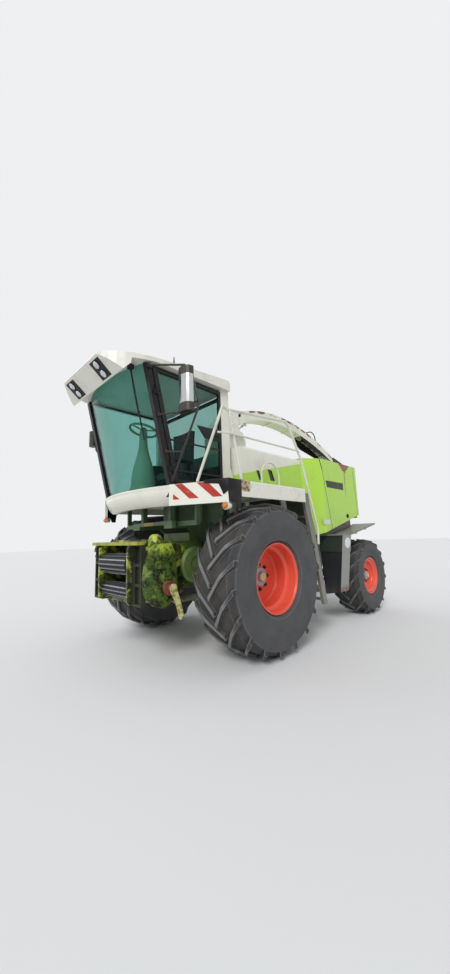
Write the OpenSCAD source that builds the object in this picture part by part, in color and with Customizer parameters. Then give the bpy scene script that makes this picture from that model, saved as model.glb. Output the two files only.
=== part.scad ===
// Self-propelled forage harvester. Sizes in mm. Forward is +X, the machine's left is +Y, the ground is z = 0.
// x is measured from the front axle here, and every piece is moved forward by x_shift.

/* [Wheels] */
// distance between the axles
wheelbase = 2855; // [2700:5:3000]
// width over the front tyres
track_w = 3000; // [2940:10:3100]
// distance between the middles of the rear tyres
rear_track = 2340; // [2300:10:2440]
// front tyre, outside diameter over the lugs
front_tyre_d = 1830; // [1750:5:1850]
// front tyre, section width
front_tyre_w = 650; // [580:5:660]
// front rim, bead diameter
front_rim_d = 813; // [780:1:830]
// rear tyre, outside diameter over the lugs
rear_tyre_d = 1302; // [1240:2:1320]
// rear tyre, section width
rear_tyre_w = 500; // [440:5:510]
// rear rim, bead diameter
rear_rim_d = 610; // [600:1:640]
// depth of the front lugs
front_lug_h = 55; // [40:1:60]
// depth of the rear lugs
rear_lug_h = 42; // [30:1:45]
// length of the steering arms
steer_arm = 130; // [120:1:140]

/* [Frame] */
// distance of the frame rails' outer faces from the middle
rail_y = 360; // [330:5:380]
// width of a frame rail
rail_t = 60; // [40:2:70]
// height of the top of the frame's rear part
deck_z = 1420; // [1400:2:1440]
// height of the top of the beam under the cab
beam_z = 1650; // [1620:5:1680]

/* [Cab] */
// half the width of the cab over its side walls
cab_half_w = 800; // [780:5:820]
// height of the top of the cab floor
cab_floor_z = 2040; // [2030:1:2045]
// height of the top of the side windows
cab_eave_z = 3430; // [3400:5:3460]
// rear wall of the cab in front of the axle
cab_rear_x = 105; // [95:5:130]
// foot of the windscreen at the pillars in front of the axle
screen_x = 1100; // [1080:5:1120]
// how far the pillars lean forward over the height of the windows
screen_lean = 320; // [280:5:340]
// how far the windscreen bulges forward at its middle
screen_bow = 130; // [80:5:160]
// thickness of the cab's side walls
wall_t = 60; // [50:1:70]
// thickness of the door
door_t = 35; // [30:1:40]
// thickness of the windows
glass_t = 6; // [5:0.5:8]
// height of the roof over its lower edge
roof_h = 185; // [160:5:200]
// how far the roof's sides fall towards the front, in degrees
roof_fall = 4.6; // [4:0.1:5.2]

/* [Body] */
// height of the hood's top
hood_z = 2650; // [2600:5:2690]
// height of the hood's lower edge
hood_low_z = 2000; // [1980:5:2030]
// half the width of the front hood
hood_half_w = 1000; // [960:5:1040]
// end of the front hood behind the front axle
hood_rear_x = 1350; // [1300:5:1400]
// half the width of the rear body over its side panels
body_half_w = 1200; // [1150:5:1230]
// rear end of the body behind the front axle
body_rear_x = 2960; // [2900:5:3000]
// depth of the folded edges of the hood and panels
sheet_t = 30; // [20:1:40]
// height of the top of the walkways
walk_z = 2000; // [1990:1:2005]
// distance of the walkways' outer edges from the middle
walk_half_w = 1450; // [1420:5:1480]

/* [Spout] */
// width of the spout
spout_w = 260; // [220:5:280]
// thickness of the spout's sheets
spout_t = 8; // [5:0.5:10]
// distance of the spout's turning axis behind the front axle
slew_x = 620; // [600:5:640]
// height of the top of the tower under the slewing ring
ring_z = 3100; // [3080:5:3140]
// outside diameter of the slewing ring
ring_d = 640; // [600:5:660]

/* [Feed unit] */
// length of the two feed rolls
roll_len = 668; // [640:2:672]
// upper feed roll, outside diameter over its bars
upper_roll_d = 250; // [236:2:256]
// lower feed roll, outside diameter over its bars
lower_roll_d = 190; // [180:2:200]
// number of bars on the upper roll
upper_bars = 14; // [10:1:16]
// number of bars on the lower roll
lower_bars = 12; // [8:1:14]
// height of the bars over the rolls
bar_h = 12; // [8:1:16]
// thickness of the feed unit's side plates
feed_plate_t = 30; // [20:1:34]
// half the width of the feed unit's front frame
feed_half_w = 580; // [560:5:620]
// diameter of the chopper housing's drum
drum_d = 620; // [580:5:640]

/* [Tow hitch] */
// diameter of the hole for the tow pin
tow_bore_d = 33; // [30:1:40]
// gap between the hitch's two ears
tow_gap = 75; // [60:1:90]
// thickness of one ear
tow_ear_t = 25; // [20:1:30]

/* [Hidden] */
$fn = 48;
x_shift = 1457;
front_z = front_tyre_d / 2;
rear_z = rear_tyre_d / 2;
front_y = (track_w - front_tyre_w) / 2;
rear_y = rear_track / 2;
king_y = rear_y - 120;
run = 0.05;
cab_in = cab_half_w - wall_t;
screen_r = (cab_in * cab_in + screen_bow * screen_bow) / (2 * screen_bow);
lean = screen_lean / (cab_eave_z - cab_floor_z);
roof_z = cab_eave_z + 20;
door_z = cab_floor_z + 35;
hinge_x = screen_x - 49;
feed_in = roll_len / 2 + 11;
pivot_x = 450;
pivot_z = 1080;
upper_roll = [1310, 1140];
lower_roll = [1292, 825];
feed_front = 1410;
drum_r = drum_d / 2;
lift_pin = [170, 640];
lift_eye = [1000, 650];
lift_y = 300;
lift_a = atan2(lift_eye[1] - lift_pin[1], lift_eye[0] - lift_pin[0]);
lift_l = norm(lift_eye - lift_pin);
walk_in = walk_half_w - 30;
wing_low = walk_z - 205;
spout_in = spout_w / 2 - spout_t;
spout_hinge = [-240, 500];
flap_pin = [-3650, 143];
cyl_foot = [-280, 60];
cyl_eye = [-680, 430];
spout_top = [[-280, 520], [-1230, 889], [-2471, 716], [-3630, 150]];
spout_low = [[-280, 285], [-630, 540], [-1480, 620], [-2230, 460]];
spout_edge = [[-2230, 460], [-2680, 380], [-3280, 190], [-3630, 20]];

function arc(cx, cy, r, a0, a1, n = 6) =
  [for (i = [0 : n]) [cx + r * cos(a0 + (a1 - a0) * i / n), cy + r * sin(a0 + (a1 - a0) * i / n)]];
function bez(p, n = 12) = [for (i = [0 : n]) let (t = i / n, s = 1 - t)
  s * s * s * p[0] + 3 * s * s * t * p[1] + 3 * s * t * t * p[2] + t * t * t * p[3]];
function back(p) = [for (i = [len(p) - 1 : -1 : 0]) p[i]];
function up(p, d) = [for (q = p) [q[0], q[1] + d]];
function lean_x(z) = (z - cab_floor_z) * lean;

module place() { translate([x_shift, 0, 0]) children(); }
// a flat shape drawn as x, z and given its width from y0 to y1
module side(y0, y1) { translate([0, y1, 0]) rotate([90, 0, 0]) linear_extrude(y1 - y0) children(); }
// a flat shape drawn as y, z and given its length from x0 to x1
module across(x0, x1) { translate([x0, 0, 0]) rotate([90, 0, 90]) linear_extrude(x1 - x0) children(); }
module block(x0, x1, y0, y1, z0, z1) { translate([x0, y0, z0]) cube([x1 - x0, y1 - y0, z1 - z0]); }
module axle_rod(x, z, y0, y1, r) { translate([x, y0, z]) rotate([-90, 0, 0]) cylinder(h = y1 - y0, r = r); }
module both() { children(); mirror([0, 1, 0]) children(); }
module tube(a, b, r) {
  d = b - a;
  translate(a) rotate([0, acos(d[2] / norm(d)), atan2(d[1], d[0])]) cylinder(h = norm(d), r = r, $fn = 24);
}
module rail(pts, r) {
  for (i = [0 : len(pts) - 2]) tube(pts[i], pts[i + 1], r);
  for (p = pts) translate(p) sphere(r = r * 1.06, $fn = 24);
}
// a body lofted through rings of points that all have the same count
module loft(rings) {
  m = len(rings[0]);
  n = len(rings);
  polyhedron(points = [for (r = rings) for (p = r) p],
    faces = concat([[for (i = [0 : m - 1]) i]], [[for (i = [m - 1 : -1 : 0]) (n - 1) * m + i]],
      [for (k = [0 : n - 2]) for (i = [0 : m - 1])
        [k * m + i, (k + 1) * m + i, (k + 1) * m + (i + 1) % m, k * m + (i + 1) % m]]));
}

// turned wheel parts stand on the y axis, outer side toward +y
function lug_ring(y, r0, r1, a, t) = [for (q = [[r0, -t], [r0, t], [r1, t * 0.82], [r1, -t * 0.82]])
  let (b = a + q[1] / q[0] * 180 / PI) [q[0] * cos(b), y, q[0] * sin(b)]];
module lug(r, c, w, sweep) {
  loft([lug_ring(-w * 0.02, c - 14, r, -sweep, w * 0.045), lug_ring(w * 0.26, c - 16, r - 4, -sweep * 0.42, w * 0.045),
    lug_ring(w * 0.485, c - w * 0.17, r - w * 0.075, 0, w * 0.058)]);
}
module tyre(d, w, rim_d, lug_h, count) {
  r = d / 2;
  c = r - lug_h;
  b = rim_d / 2 + 0.3;
  pitch = 360 / count;
  rotate([-90, 0, 0]) rotate_extrude($fn = 48)
    polygon([[b, -w * 0.36], [b + 18, -w * 0.36], [b + 50, -w * 0.45], [(c + b) / 2, -w / 2], [c - w * 0.09, -w * 0.48],
      [c, -w * 0.36], [c, w * 0.36], [c - w * 0.09, w * 0.48], [(c + b) / 2, w / 2], [b + 50, w * 0.45],
      [b + 18, w * 0.36], [b, w * 0.36]]);
  for (i = [0 : count - 1]) rotate([0, -i * pitch, 0]) {
    rotate([0, 90 - pitch * 1.25 - w * 0.0369 / r * 180 / PI, 0]) lug(r, c, w, pitch * 1.25);
    rotate([0, 90 - pitch * 0.75, 0]) mirror([0, 1, 0]) lug(r, c, w, pitch * 1.25);
  }
}
module rim(rim_d, w, disc_y, hub_r, hub_y0, bore_r) {
  b = rim_d / 2;
  f = max(w * 0.17, disc_y + 64);
  rotate([-90, 0, 0]) difference() {
    rotate_extrude($fn = 72)
      polygon(concat([[b - 16, -w * 0.38], [b + 12, -w * 0.38], [b + 12, -w * 0.36 - 1], [b, -w * 0.36],
        [b, w * 0.36], [b + 12, w * 0.36 + 1], [b + 14, w * 0.40], [b - 4, w * 0.40], [b - 18, w * 0.37],
        [b - 24, f + 26], [b - 52, f + 12], [b - 66, f]],
        [for (p = arc(0, 0, 1, 0, 60, 3)) [b - 108 + 42 * p[0], disc_y + 62 - 46 * p[1]]],
        [[hub_r + 66, disc_y + 16], [bore_r, disc_y + 16], [bore_r, hub_y0], [hub_r, hub_y0], [hub_r, disc_y],
        [hub_r + 66, disc_y], [b - 92, disc_y + 6], [b - 66, disc_y + 20], [b - 54, disc_y + 44], [b - 54, f - 12],
        [b - 16, f - 50]]));
    for (i = [0 : 7]) rotate([0, 0, i * 45]) translate([hub_r + 34, 0, disc_y - 1]) cylinder(h = 18, r = 14, $fn = 16);
  }
}
module at_front(s) { translate([0, s * front_y, front_z]) mirror([0, s < 0 ? 1 : 0, 0]) children(); }
module at_rear(s) { translate([-wheelbase, s * rear_y, rear_z]) mirror([0, s < 0 ? 1 : 0, 0]) children(); }

module front_tyre(s) {
  color([0.06, 0.06, 0.06]) at_front(s) tyre(front_tyre_d, front_tyre_w, front_rim_d, front_lug_h, 18);
}
module rear_tyre(s) {
  color([0.06, 0.06, 0.06]) at_rear(s) tyre(rear_tyre_d, rear_tyre_w, rear_rim_d, rear_lug_h, 16);
}
module hub_cap(y0, y1, r0, r1) {
  rotate([-90, 0, 0]) rotate_extrude($fn = 48)
    polygon(concat([[0, y0], [r0, y0], [r0, y0 + 30], [r1, y0 + 34]], [for (p = arc(0, 0, 1, 0, 90, 4))
      [r1 - 14 + 14 * p[0], y1 - 14 + 14 * p[1]]], [[0, y1]]));
}
module front_rim(s) {
  color([0.72, 0.08, 0.05]) at_front(s) {
    rim(front_rim_d, front_tyre_w, -60, 130, -90, 60 + run);
    translate([0, 0, 0]) hub_cap(-44, 26, 112, 62);
  }
}
module rear_rim(s) {
  color([0.72, 0.08, 0.05]) at_rear(s) {
    rim(rear_rim_d, rear_tyre_w, 85, 80, 60, 40 + run);
    hub_cap(101, 158, 70, 42);
  }
}

module front_axle() {
  color([0.10, 0.10, 0.10]) {
    axle_rod(0, front_z, -700, 700, 92);
    both() {
      axle_rod(0, front_z, 680, 760, 215);
      axle_rod(0, front_z, 740, front_y - 105, 190);
      axle_rod(0, front_z, front_y - 110, front_y - 50, 60);
      for (y = [lift_y - 45, lift_y + 25]) difference() {
        side(y, y + 20) polygon(concat([[-60, front_z - 60], [60, front_z - 60], [205, 640]],
          arc(lift_pin[0], lift_pin[1], 38, 0, -150, 5)));
        axle_rod(lift_pin[0], lift_pin[1], y - 1, y + 21, 18 + run);
      }
      block(-140, 130, rail_y - rail_t, rail_y, front_z + 70, 1010);
    }
  }
}
module main_frame() {
  color([0.10, 0.22, 0.06]) {
    both() {
      side(rail_y - rail_t, rail_y) polygon([[800, 1560], [800, beam_z - 10], [120, beam_z - 10], [-300, beam_z - 90],
        [-1300, deck_z], [-3200, deck_z], [-3200, deck_z - 100], [-2300, deck_z - 120], [-400, 1180], [-150, 1180],
        [-150, 1010], [140, 1010], [140, 1300], [500, 1560]]);
      side(rail_y - rail_t, rail_y) polygon([[-wheelbase - 200, deck_z - 100], [-wheelbase + 200, deck_z - 100],
        [-wheelbase + 90, rear_z + 70], [-wheelbase - 90, rear_z + 70]]);
      block(800, 860, rail_y - rail_t, 470, beam_z - 95, beam_z - 50);
      block(180, 260, rail_y - rail_t, rail_y, beam_z - 20, cab_floor_z - 80);
      block(730, 800, rail_y - rail_t, rail_y, beam_z - 20, cab_floor_z - 80);
      block(700, 760, rail_y - 10, cab_half_w + 30, beam_z - 70, beam_z - 10);
      block(700, 760, cab_half_w, cab_half_w + 30, beam_z - 20, walk_z - 40);
      for (x = [-300, -680]) block(x, x + 60, rail_y - rail_t, rail_y, deck_z + 40, walk_z - 40);
      block(-1860, -1780, rail_y - 10, hood_half_w, deck_z - 75, deck_z - 35);
    }
    block(800, 860, -470, 470, beam_z - 50, beam_z);
    block(150, 180, -700, 700, beam_z - 20, cab_floor_z - 80);
    block(-1200, -1100, -rail_y + rail_t, rail_y - rail_t, 1250, deck_z - 20);
    block(-2300, -2200, -rail_y + rail_t, rail_y - rail_t, deck_z - 100, deck_z - 20);
    block(-3200, -3140, -rail_y + rail_t, rail_y - rail_t, deck_z - 100, deck_z);
  }
}
module rear_axle() {
  color([0.10, 0.10, 0.10]) {
    difference() {
      union() {
        translate([-wheelbase, 0, rear_z - 60]) linear_extrude(120)
          polygon([[-80, -500], [-80, 500], [-46, king_y - 100], [-46, king_y], [46, king_y], [46, king_y - 100],
            [80, 500], [80, -500], [46, 100 - king_y], [46, -king_y], [-46, -king_y], [-46, 100 - king_y]]);
        both() translate([-wheelbase, king_y, rear_z - 60]) cylinder(h = 120, r = 54);
      }
      both() translate([-wheelbase, king_y, rear_z - 70]) cylinder(h = 140, r = 25 + run);
    }
    block(-wheelbase - 90, -wheelbase + 90, -rail_y - 20, rail_y + 20, rear_z + 60, rear_z + 70);
  }
}
module knuckle(s) {
  color([0.10, 0.10, 0.10]) translate([-wheelbase, s * king_y, rear_z]) mirror([0, s < 0 ? 1 : 0, 0]) {
    translate([0, 0, -95]) cylinder(h = 190, r = 25);
    translate([0, 0, 65.5]) cylinder(h = 30, r = 60);
    translate([0, 0, -95]) cylinder(h = 29.5, r = 60);
    block(-58, 58, 62, 100, -95, 95.5);
    block(-58, 58, 0, 62, 65.5, 95.5);
    block(-58, 58, 0, 62, -95, -65.5);
    translate([0, 100, 0]) rotate([-90, 0, 0]) cylinder(h = 60, r = 70);
    translate([0, 160, 0]) rotate([-90, 0, 0]) cylinder(h = 55, r = 40);
    for (x = [-steer_arm, steer_arm]) difference() {
      union() {
        block(min(0, x), max(0, x), -25, 25, -95, -75);
        translate([x, 0, -95]) cylinder(h = 20, r = 32);
      }
      if (s > 0 || x < 0) translate([x, 0, -96]) cylinder(h = 22, r = 12 + run);
    }
  }
}
module tie_rod() {
  color([0.16, 0.16, 0.16]) translate([-wheelbase - steer_arm, 0, rear_z - 110]) {
    tube([0, -king_y + 26, -8], [0, king_y - 26, -8], 13);
    both() translate([0, king_y, -22]) cylinder(h = 28, r = 30);
    both() translate([0, king_y, -20]) cylinder(h = 55, r = 12);
  }
}
module steer_barrel() {
  x = -wheelbase + steer_arm;
  color([0.12, 0.12, 0.12]) {
    difference() {
      tube([x, 230, rear_z - 110], [x, 720, rear_z - 110], 32);
      tube([x, 270, rear_z - 110], [x, 721, rear_z - 110], 15 + run);
    }
    block(-wheelbase + 20, x + 32, 180, 230, rear_z - 142, rear_z - 60);
  }
}
module steer_rod() {
  x = -wheelbase + steer_arm;
  color([0.6, 0.6, 0.6]) difference() {
    union() {
      tube([x, 370, rear_z - 110], [x, king_y - 30, rear_z - 110], 15);
      translate([x, king_y, rear_z - 124]) cylinder(h = 28, r = 34);
    }
    translate([x, king_y, rear_z - 126]) cylinder(h = 32, r = 24);
  }
}
module tow_hitch() {
  z = 1000;
  top = z + 2 * tow_ear_t + tow_gap;
  color([0.12, 0.12, 0.12]) difference() {
    union() {
      block(-3240, -3200, -110, 110, z - 20, deck_z - 20);
      both() side(70, 95) polygon([[-3201, deck_z - 101], [-3130, deck_z - 101], [-3201, top + 40]]);
      for (h = [z, z + tow_ear_t + tow_gap]) translate([0, 0, h]) linear_extrude(tow_ear_t)
        polygon(concat([[-3239, -80]], arc(-3330, 0, 50, 270, 90, 10), [[-3239, 80]]));
    }
    translate([-3330, 0, z - 1]) cylinder(h = top - z + 2, r = tow_bore_d / 2);
  }
}

module chopper_housing() {
  color([0.22, 0.42, 0.08]) {
    axle_rod(pivot_x, pivot_z, -feed_in + 15, feed_in - 15, drum_r);
    both() {
      axle_rod(pivot_x, pivot_z, feed_in - 16, feed_in + feed_plate_t + 25, 110);
      translate([pivot_x, feed_in + feed_plate_t + 25, pivot_z]) rotate([-90, 0, 0]) rotate_extrude($fn = 72)
        polygon([[0, 0], [225, 0], [240, 12], [240, 40], [215, 62], [110, 62], [100, 50], [0, 50]]);
    }
    block(140, pivot_x, -299, 299, pivot_z, 1500);
  }
}
module feed_side(y0) {
  difference() {
    side(y0, y0 + feed_plate_t) union() {
      polygon(concat([[pivot_x, pivot_z - 180], [pivot_x, pivot_z + 180], [820, 1400], [1300, 1400]],
        [[feed_front, 1330]], arc(feed_front - 60, 750, 60, 0, -90, 4), [[860, 690]]));
      translate([pivot_x, pivot_z]) circle(r = 180);
    }
    axle_rod(pivot_x, pivot_z, y0 - 1, y0 + feed_plate_t + 1, 110 + run);
    for (q = [upper_roll, lower_roll]) axle_rod(q[0], q[1], y0 - 1, y0 + feed_plate_t + 1, 30 + run);
  }
}
module feed_housing() {
  color([0.48, 0.58, 0.05]) {
    both() {
      feed_side(feed_in);
      for (y = [lift_y - 45, lift_y + 31]) difference() {
        side(y, y + 14) polygon(concat([[900, 700], [1080, 700]], arc(lift_eye[0], lift_eye[1], 34, -20, -160, 6)));
      }
      axle_rod(lift_eye[0], lift_eye[1], lift_y - 45, lift_y + 45, 16);
    }
    block(830, 1300, -feed_in, feed_in, 1360, 1400);
    block(860, 1290, -feed_in, feed_in, 690, 720);
    block(1330, feed_front, -feed_half_w, feed_half_w, 1365, 1405);
    for (x = [900, 1060, 1220]) block(x, x + 20, -feed_in, feed_in, 1400, 1425);
  }
}
module feed_frame() {
  y0 = feed_in + feed_plate_t;
  color([0.09, 0.10, 0.08]) both() difference() {
    union() {
      block(1300, 1360, y0, feed_half_w, 690, 1365);
      side(y0 + 20, y0 + 64) polygon(concat([[1350, 1364], [1350, 1200]], bez([[1400, 1190], [1450, 1210], [1450, 1330],
        [feed_front + 10, 1364]], 8)));
    }
    for (z = [720, 940, 1160]) block(1330, 1361, y0 + 75, feed_half_w - 22, z, z + 185);
    axle_rod(1404, 1262, y0, feed_half_w, 24);
    block(1404, 1470, y0, feed_half_w, 1238, 1286);
  }
}
function case_line(d) = concat(bez([[1170 - d, 1372 - d], [1300 - d, 1350 - d], [1375 - d, 1050], [1340 - d, 850 + d]], 10),
  bez([[1330 - d, 820 + d], [1300 - d, 730 + d], [1150, 640 + d], [1060, 640 + d]], 8),
  bez([[1040, 640 + d], [960 + d, 660 + d], [880 + d, 850], [885 + d, 1000]], 6),
  [[900 + d, 1250], [960 + d, 1372 - d]]);
module feed_drives() {
  y0 = feed_in + feed_plate_t;
  color([0.36, 0.50, 0.06]) {
    difference() {
      union() {
        side(y0, feed_half_w) intersection() {
          polygon(case_line(26));
          translate([700, 500]) square([598, 1000]);
        }
        side(feed_half_w, feed_half_w + 18) polygon(case_line(0));
      }
      for (i = [0 : 8]) let (p = bez([[1200, 1335], [1300, 1300], [1345, 1050], [1312, 850]], 8)[i])
        axle_rod(p[0], p[1], feed_half_w + 10, feed_half_w + 19, 9);
    }
    translate([1105, y0 + 100, 1340]) rotate_extrude($fn = 48)
      polygon(concat([[0, 0], [88, 0], [88, 60]], [for (p = arc(0, 0, 1, 0, 90, 6)) [14 + 64 * p[0], 84 + 62 * p[1]]],
        [[0, 146]]));
    for (q = [[1062, 1263, 58, 86], [1062, 1263, 76, 58], [1020, 866, 84, 84], [1020, 866, 118, 46]])
      axle_rod(q[0], q[1], feed_half_w + 10, feed_half_w + q[2], q[3]);
    block(1130, 1190, feed_half_w + 10, feed_half_w + 52, 1090, 1180);
    side(feed_half_w + 118, feed_half_w + 140) polygon(concat(arc(1020, 866, 52, 20, 160, 6),
      bez([[970, 830], [935, 760], [900, 640], [886, 560]], 6), arc(918, 545, 34, 180, 340, 6),
      bez([[952, 560], [960, 640], [1010, 760], [1060, 830]], 6)));
    axle_rod(918, 545, feed_half_w + 100, feed_half_w + 150, 16);
    mirror([0, 1, 0]) {
      side(y0, feed_half_w - 60) intersection() {
        polygon(case_line(60));
        translate([700, 500]) square([598, 1000]);
      }
      axle_rod(1062, 1200, feed_half_w - 61, feed_half_w - 20, 90);
      axle_rod(1020, 866, feed_half_w - 61, feed_half_w - 10, 70);
    }
  }
}
module feed_roll(q, d, n) {
  w = 16;
  difference() {
    union() {
      side(-roll_len / 2, roll_len / 2) translate(q) union() {
        circle(r = d / 2 - bar_h);
        for (i = [0 : n - 1]) rotate(i * 360 / n) translate([0, -w / 2]) square([sqrt(d * d - w * w) / 2, w]);
      }
      axle_rod(q[0], q[1], -feed_in - feed_plate_t + 1, feed_in + feed_plate_t - 1, 30);
    }
    both() for (i = [0 : 5]) translate([q[0], roll_len / 2 + 1, q[1]]) rotate([90, i * 60, 0])
      translate([52, 0, 0]) cylinder(h = 9, r = 8, $fn = 16);
  }
}
module upper_feed_roll() { color([0.5, 0.52, 0.55]) feed_roll(upper_roll, upper_roll_d, upper_bars); }
module lower_feed_roll() { color([0.5, 0.52, 0.55]) feed_roll(lower_roll, lower_roll_d, lower_bars); }
module on_lift(s) { translate([lift_pin[0], s, lift_pin[1]]) rotate([0, -lift_a, 0]) rotate([0, 90, 0]) children(); }
module lift_barrels() {
  color([0.2, 0.3, 0.06]) both() {
    axle_rod(lift_pin[0], lift_pin[1], lift_y - 50, lift_y + 50, 18);
    difference() {
      union() {
        axle_rod(lift_pin[0], lift_pin[1], lift_y - 22, lift_y + 22, 34);
        on_lift(lift_y) {
          cylinder(h = 80, r = 22);
          translate([0, 0, 70]) cylinder(h = 450, r = 38);
          translate([0, 0, 490]) cylinder(h = 45, r = 44);
        }
      }
      on_lift(lift_y) translate([0, 0, 100]) cylinder(h = 450, r = 18 + run);
    }
  }
}
module lift_rods() {
  color([0.65, 0.65, 0.66]) both() difference() {
    union() {
      on_lift(lift_y) translate([0, 0, 250]) cylinder(h = lift_l - 275, r = 18);
      axle_rod(lift_eye[0], lift_eye[1], lift_y - 22, lift_y + 22, 34);
    }
    axle_rod(lift_eye[0], lift_eye[1], lift_y - 23, lift_y + 23, 22);
  }
}

module door_axis() {
  translate([hinge_x, cab_half_w + 15, door_z]) rotate([0, atan(lean), 0]) children();
}
module cab_shell() {
  f = cab_floor_z;
  e = cab_eave_z;
  color([0.10, 0.10, 0.11]) {
    block(cab_rear_x, screen_x, -cab_half_w, cab_half_w, f - 80, f);
    both() {
      side(cab_in, cab_half_w) polygon([[screen_x - 45, f - 60], [screen_x + 25, f - 60], [screen_x + 25, f],
        [screen_x + 25 + screen_lean, e], [screen_x - 45 + screen_lean, e], [screen_x - 45, f]]);
      block(cab_rear_x, screen_x + 20 + screen_lean, cab_in, cab_in + 20, e - 10, e + 20);
    }
    block(cab_rear_x, cab_rear_x + 30, -cab_in, cab_in, f - 10, f + 380);
    block(cab_rear_x, cab_rear_x + 30, -cab_in, cab_in, e - 50, e);
    block(cab_rear_x + 151, screen_x - 30, -cab_half_w, -cab_half_w + 40, f - 20, f + 30);
    door_axis() for (z = [140, 1040]) {
      translate([0, 0, z]) cylinder(h = 59.5, r = 14);
      translate([0, 0, z + 20]) cylinder(h = 98, r = 6);
      translate([0, -14.9, z + 5]) cube([50, 14, 50]);
      translate([10, -25, z + 5.5]) cube([38, 22, 49]);
    }
    block(cab_rear_x + 60, cab_rear_x + 200, -cab_in + 40, -cab_in + 180, f - 5, f + 260);
  }
}
module rear_pillars() {
  f = cab_floor_z;
  e = cab_eave_z;
  color([0.86, 0.86, 0.80]) both() {
    side(cab_in, cab_half_w) polygon([[cab_rear_x - 45, f], [cab_rear_x + 150, f], [cab_rear_x + 150, e - 10],
      [cab_rear_x, e - 10], [cab_rear_x, f + 330], [cab_rear_x - 45, f + 200]]);
    side(cab_in + 20, cab_half_w) polygon([[cab_rear_x, e - 11], [cab_rear_x + 150, e - 11],
      [cab_rear_x + 150, roof_z], [cab_rear_x, roof_z]]);
  }
}
module roof_shape() {
  r = cab_rear_x + 15;
  w = cab_half_w + 60;
  nose = 1885;
  intersection() {
    translate([0, 0, roof_z - 200]) linear_extrude(500)
      polygon(concat([[r, -w]], back([for (p = bez([[nose, 480], [1800, 640], [1560, w - 20], [1250, w]], 8))
        [p[0], -p[1]]]), bez([[nose, 480], [1800, 640], [1560, w - 20], [1250, w]], 8), [[r, w]]));
    side(-w - 10, w + 10) polygon(concat([[r, roof_z], [1590, roof_z], [1600, roof_z - 65], [1668, roof_z - 140],
      [nose, roof_z + 50]], bez([[1872, roof_z + 78], [1600, roof_z + 170], [1200, roof_z + roof_h + 14],
      [900, roof_z + roof_h + 10]], 8), [[r + 200, roof_z + roof_h]], arc(r + 80, roof_z + 90, 80, 90, 180, 5)));
    translate([r, 0, roof_z]) rotate([0, roof_fall, 0]) across(-60, nose - r + 60)
      polygon(concat([[w + 10, -230], [w + 10, roof_h - 45]], bez([[w, roof_h - 35], [560, roof_h + 80],
        [-560, roof_h + 80], [-w, roof_h - 35]], 12), [[-w - 10, roof_h - 45], [-w - 10, -230]]));
  }
}
module brow() { translate([1668, 0, roof_z - 140]) rotate([0, -atan(190 / 217), 0]) children(); }
module lamp_box() { both() brow() translate([25, 255, -6]) cube([230, 215, 62]); }
module cab_roof() {
  color([0.86, 0.86, 0.80]) difference() {
    roof_shape();
    lamp_box();
  }
}
module roof_lamps() {
  color([0.08, 0.08, 0.08]) {
    difference() {
      lamp_box();
      both() brow() for (x = [82, 198]) translate([x, 362, -7]) cylinder(h = 24, r = 50);
    }
    both() brow() for (x = [82, 198]) translate([x, 362, 4]) cylinder(h = 16, r = 46);
  }
}
module cab_fittings() {
  f = cab_floor_z;
  color([0.06, 0.06, 0.06]) {
    difference() {
      translate([970, 700, roof_z + 100]) cylinder(h = 160, r1 = 14, r2 = 6, $fn = 24);
      roof_shape();
    }
    block(1490, 1550, 570, 630, roof_z - 52, roof_z);
    rail([[1520, 600, roof_z - 50], [1512, 600, roof_z - 90], [1392, 560, f + 870]], 11);
    rail([[1470, 574, f + 1200], [1320, 574, f + 550]], 9);
    block(1380, 1404, 545, 578, f + 855, f + 885);
  }
}
module windscreen() {
  color([0.2, 0.5, 0.45, 0.4]) intersection() {
    block(screen_x - 200, screen_x + 700, -cab_in, cab_in, cab_floor_z, cab_eave_z + 19.5);
    translate([screen_x, 0, cab_floor_z]) rotate([0, atan(lean), 0])
      translate([screen_bow - screen_r, 0, -200]) linear_extrude(1900) intersection() {
        difference() { circle(r = screen_r, $fn = 720); circle(r = screen_r - glass_t - 2, $fn = 720); }
        translate([0, -cab_in - 2]) square([screen_r + 10, 2 * cab_in + 4]);
      }
  }
}
module cab_glass() {
  f = cab_floor_z;
  e = cab_eave_z;
  color([0.2, 0.4, 0.4, 0.4]) {
    block(cab_rear_x + 7, cab_rear_x + 7 + glass_t, -cab_in, cab_in, f + 380, e - 50);
    mirror([0, 1, 0]) side(cab_half_w - 20 - glass_t, cab_half_w - 20) polygon([[cab_rear_x + 151, f + 30],
      [screen_x - 47 + lean_x(f + 30), f + 30], [screen_x - 47 + lean_x(e - 10), e - 10], [cab_rear_x + 151, e - 10]]);
  }
}
function door_front(z) = hinge_x - 4 + (z - door_z) * lean;
module door_outline() {
  x = cab_rear_x + 157;
  z = cab_eave_z - 18;
  polygon([[x, door_z], [door_front(door_z), door_z], [door_front(z), z], [x, z]]);
}
module door_window() {
  x = cab_rear_x + 195;
  z0 = door_z + 40;
  z1 = cab_eave_z - 58;
  polygon([[x, z0], [door_front(z0) - 60, z0], [door_front(z1) - 60, z1], [x, z1]]);
}
module cab_door() {
  y = cab_half_w;
  color([0.10, 0.10, 0.11]) {
    difference() {
      union() {
        side(y - door_t, y) door_outline();
        door_axis() for (z = [200, 1100]) {
          translate([0, 0, z]) cylinder(h = 60, r = 14);
          translate([-50, -15, z]) cube([50, 15, 60]);
        }
      }
      side(y - door_t - 5, y + 1) door_window();
      door_axis() translate([0, 0, 150]) cylinder(h = 1200, r = 6 + run);
    }
    side(y - 12, y) intersection() {
      union() {
        for (z = [2580, 2222]) translate([cab_rear_x + 180, z - 10]) square([1000, 20]);
        polygon([[cab_rear_x + 185, 2690], [560, 2700], [690, 2846], [cab_rear_x + 185, 2853]]);
      }
      door_outline();
    }
    block(cab_rear_x + 215, cab_rear_x + 345, y - 1, y + 22, 2760, 2785);
  }
}
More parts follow.
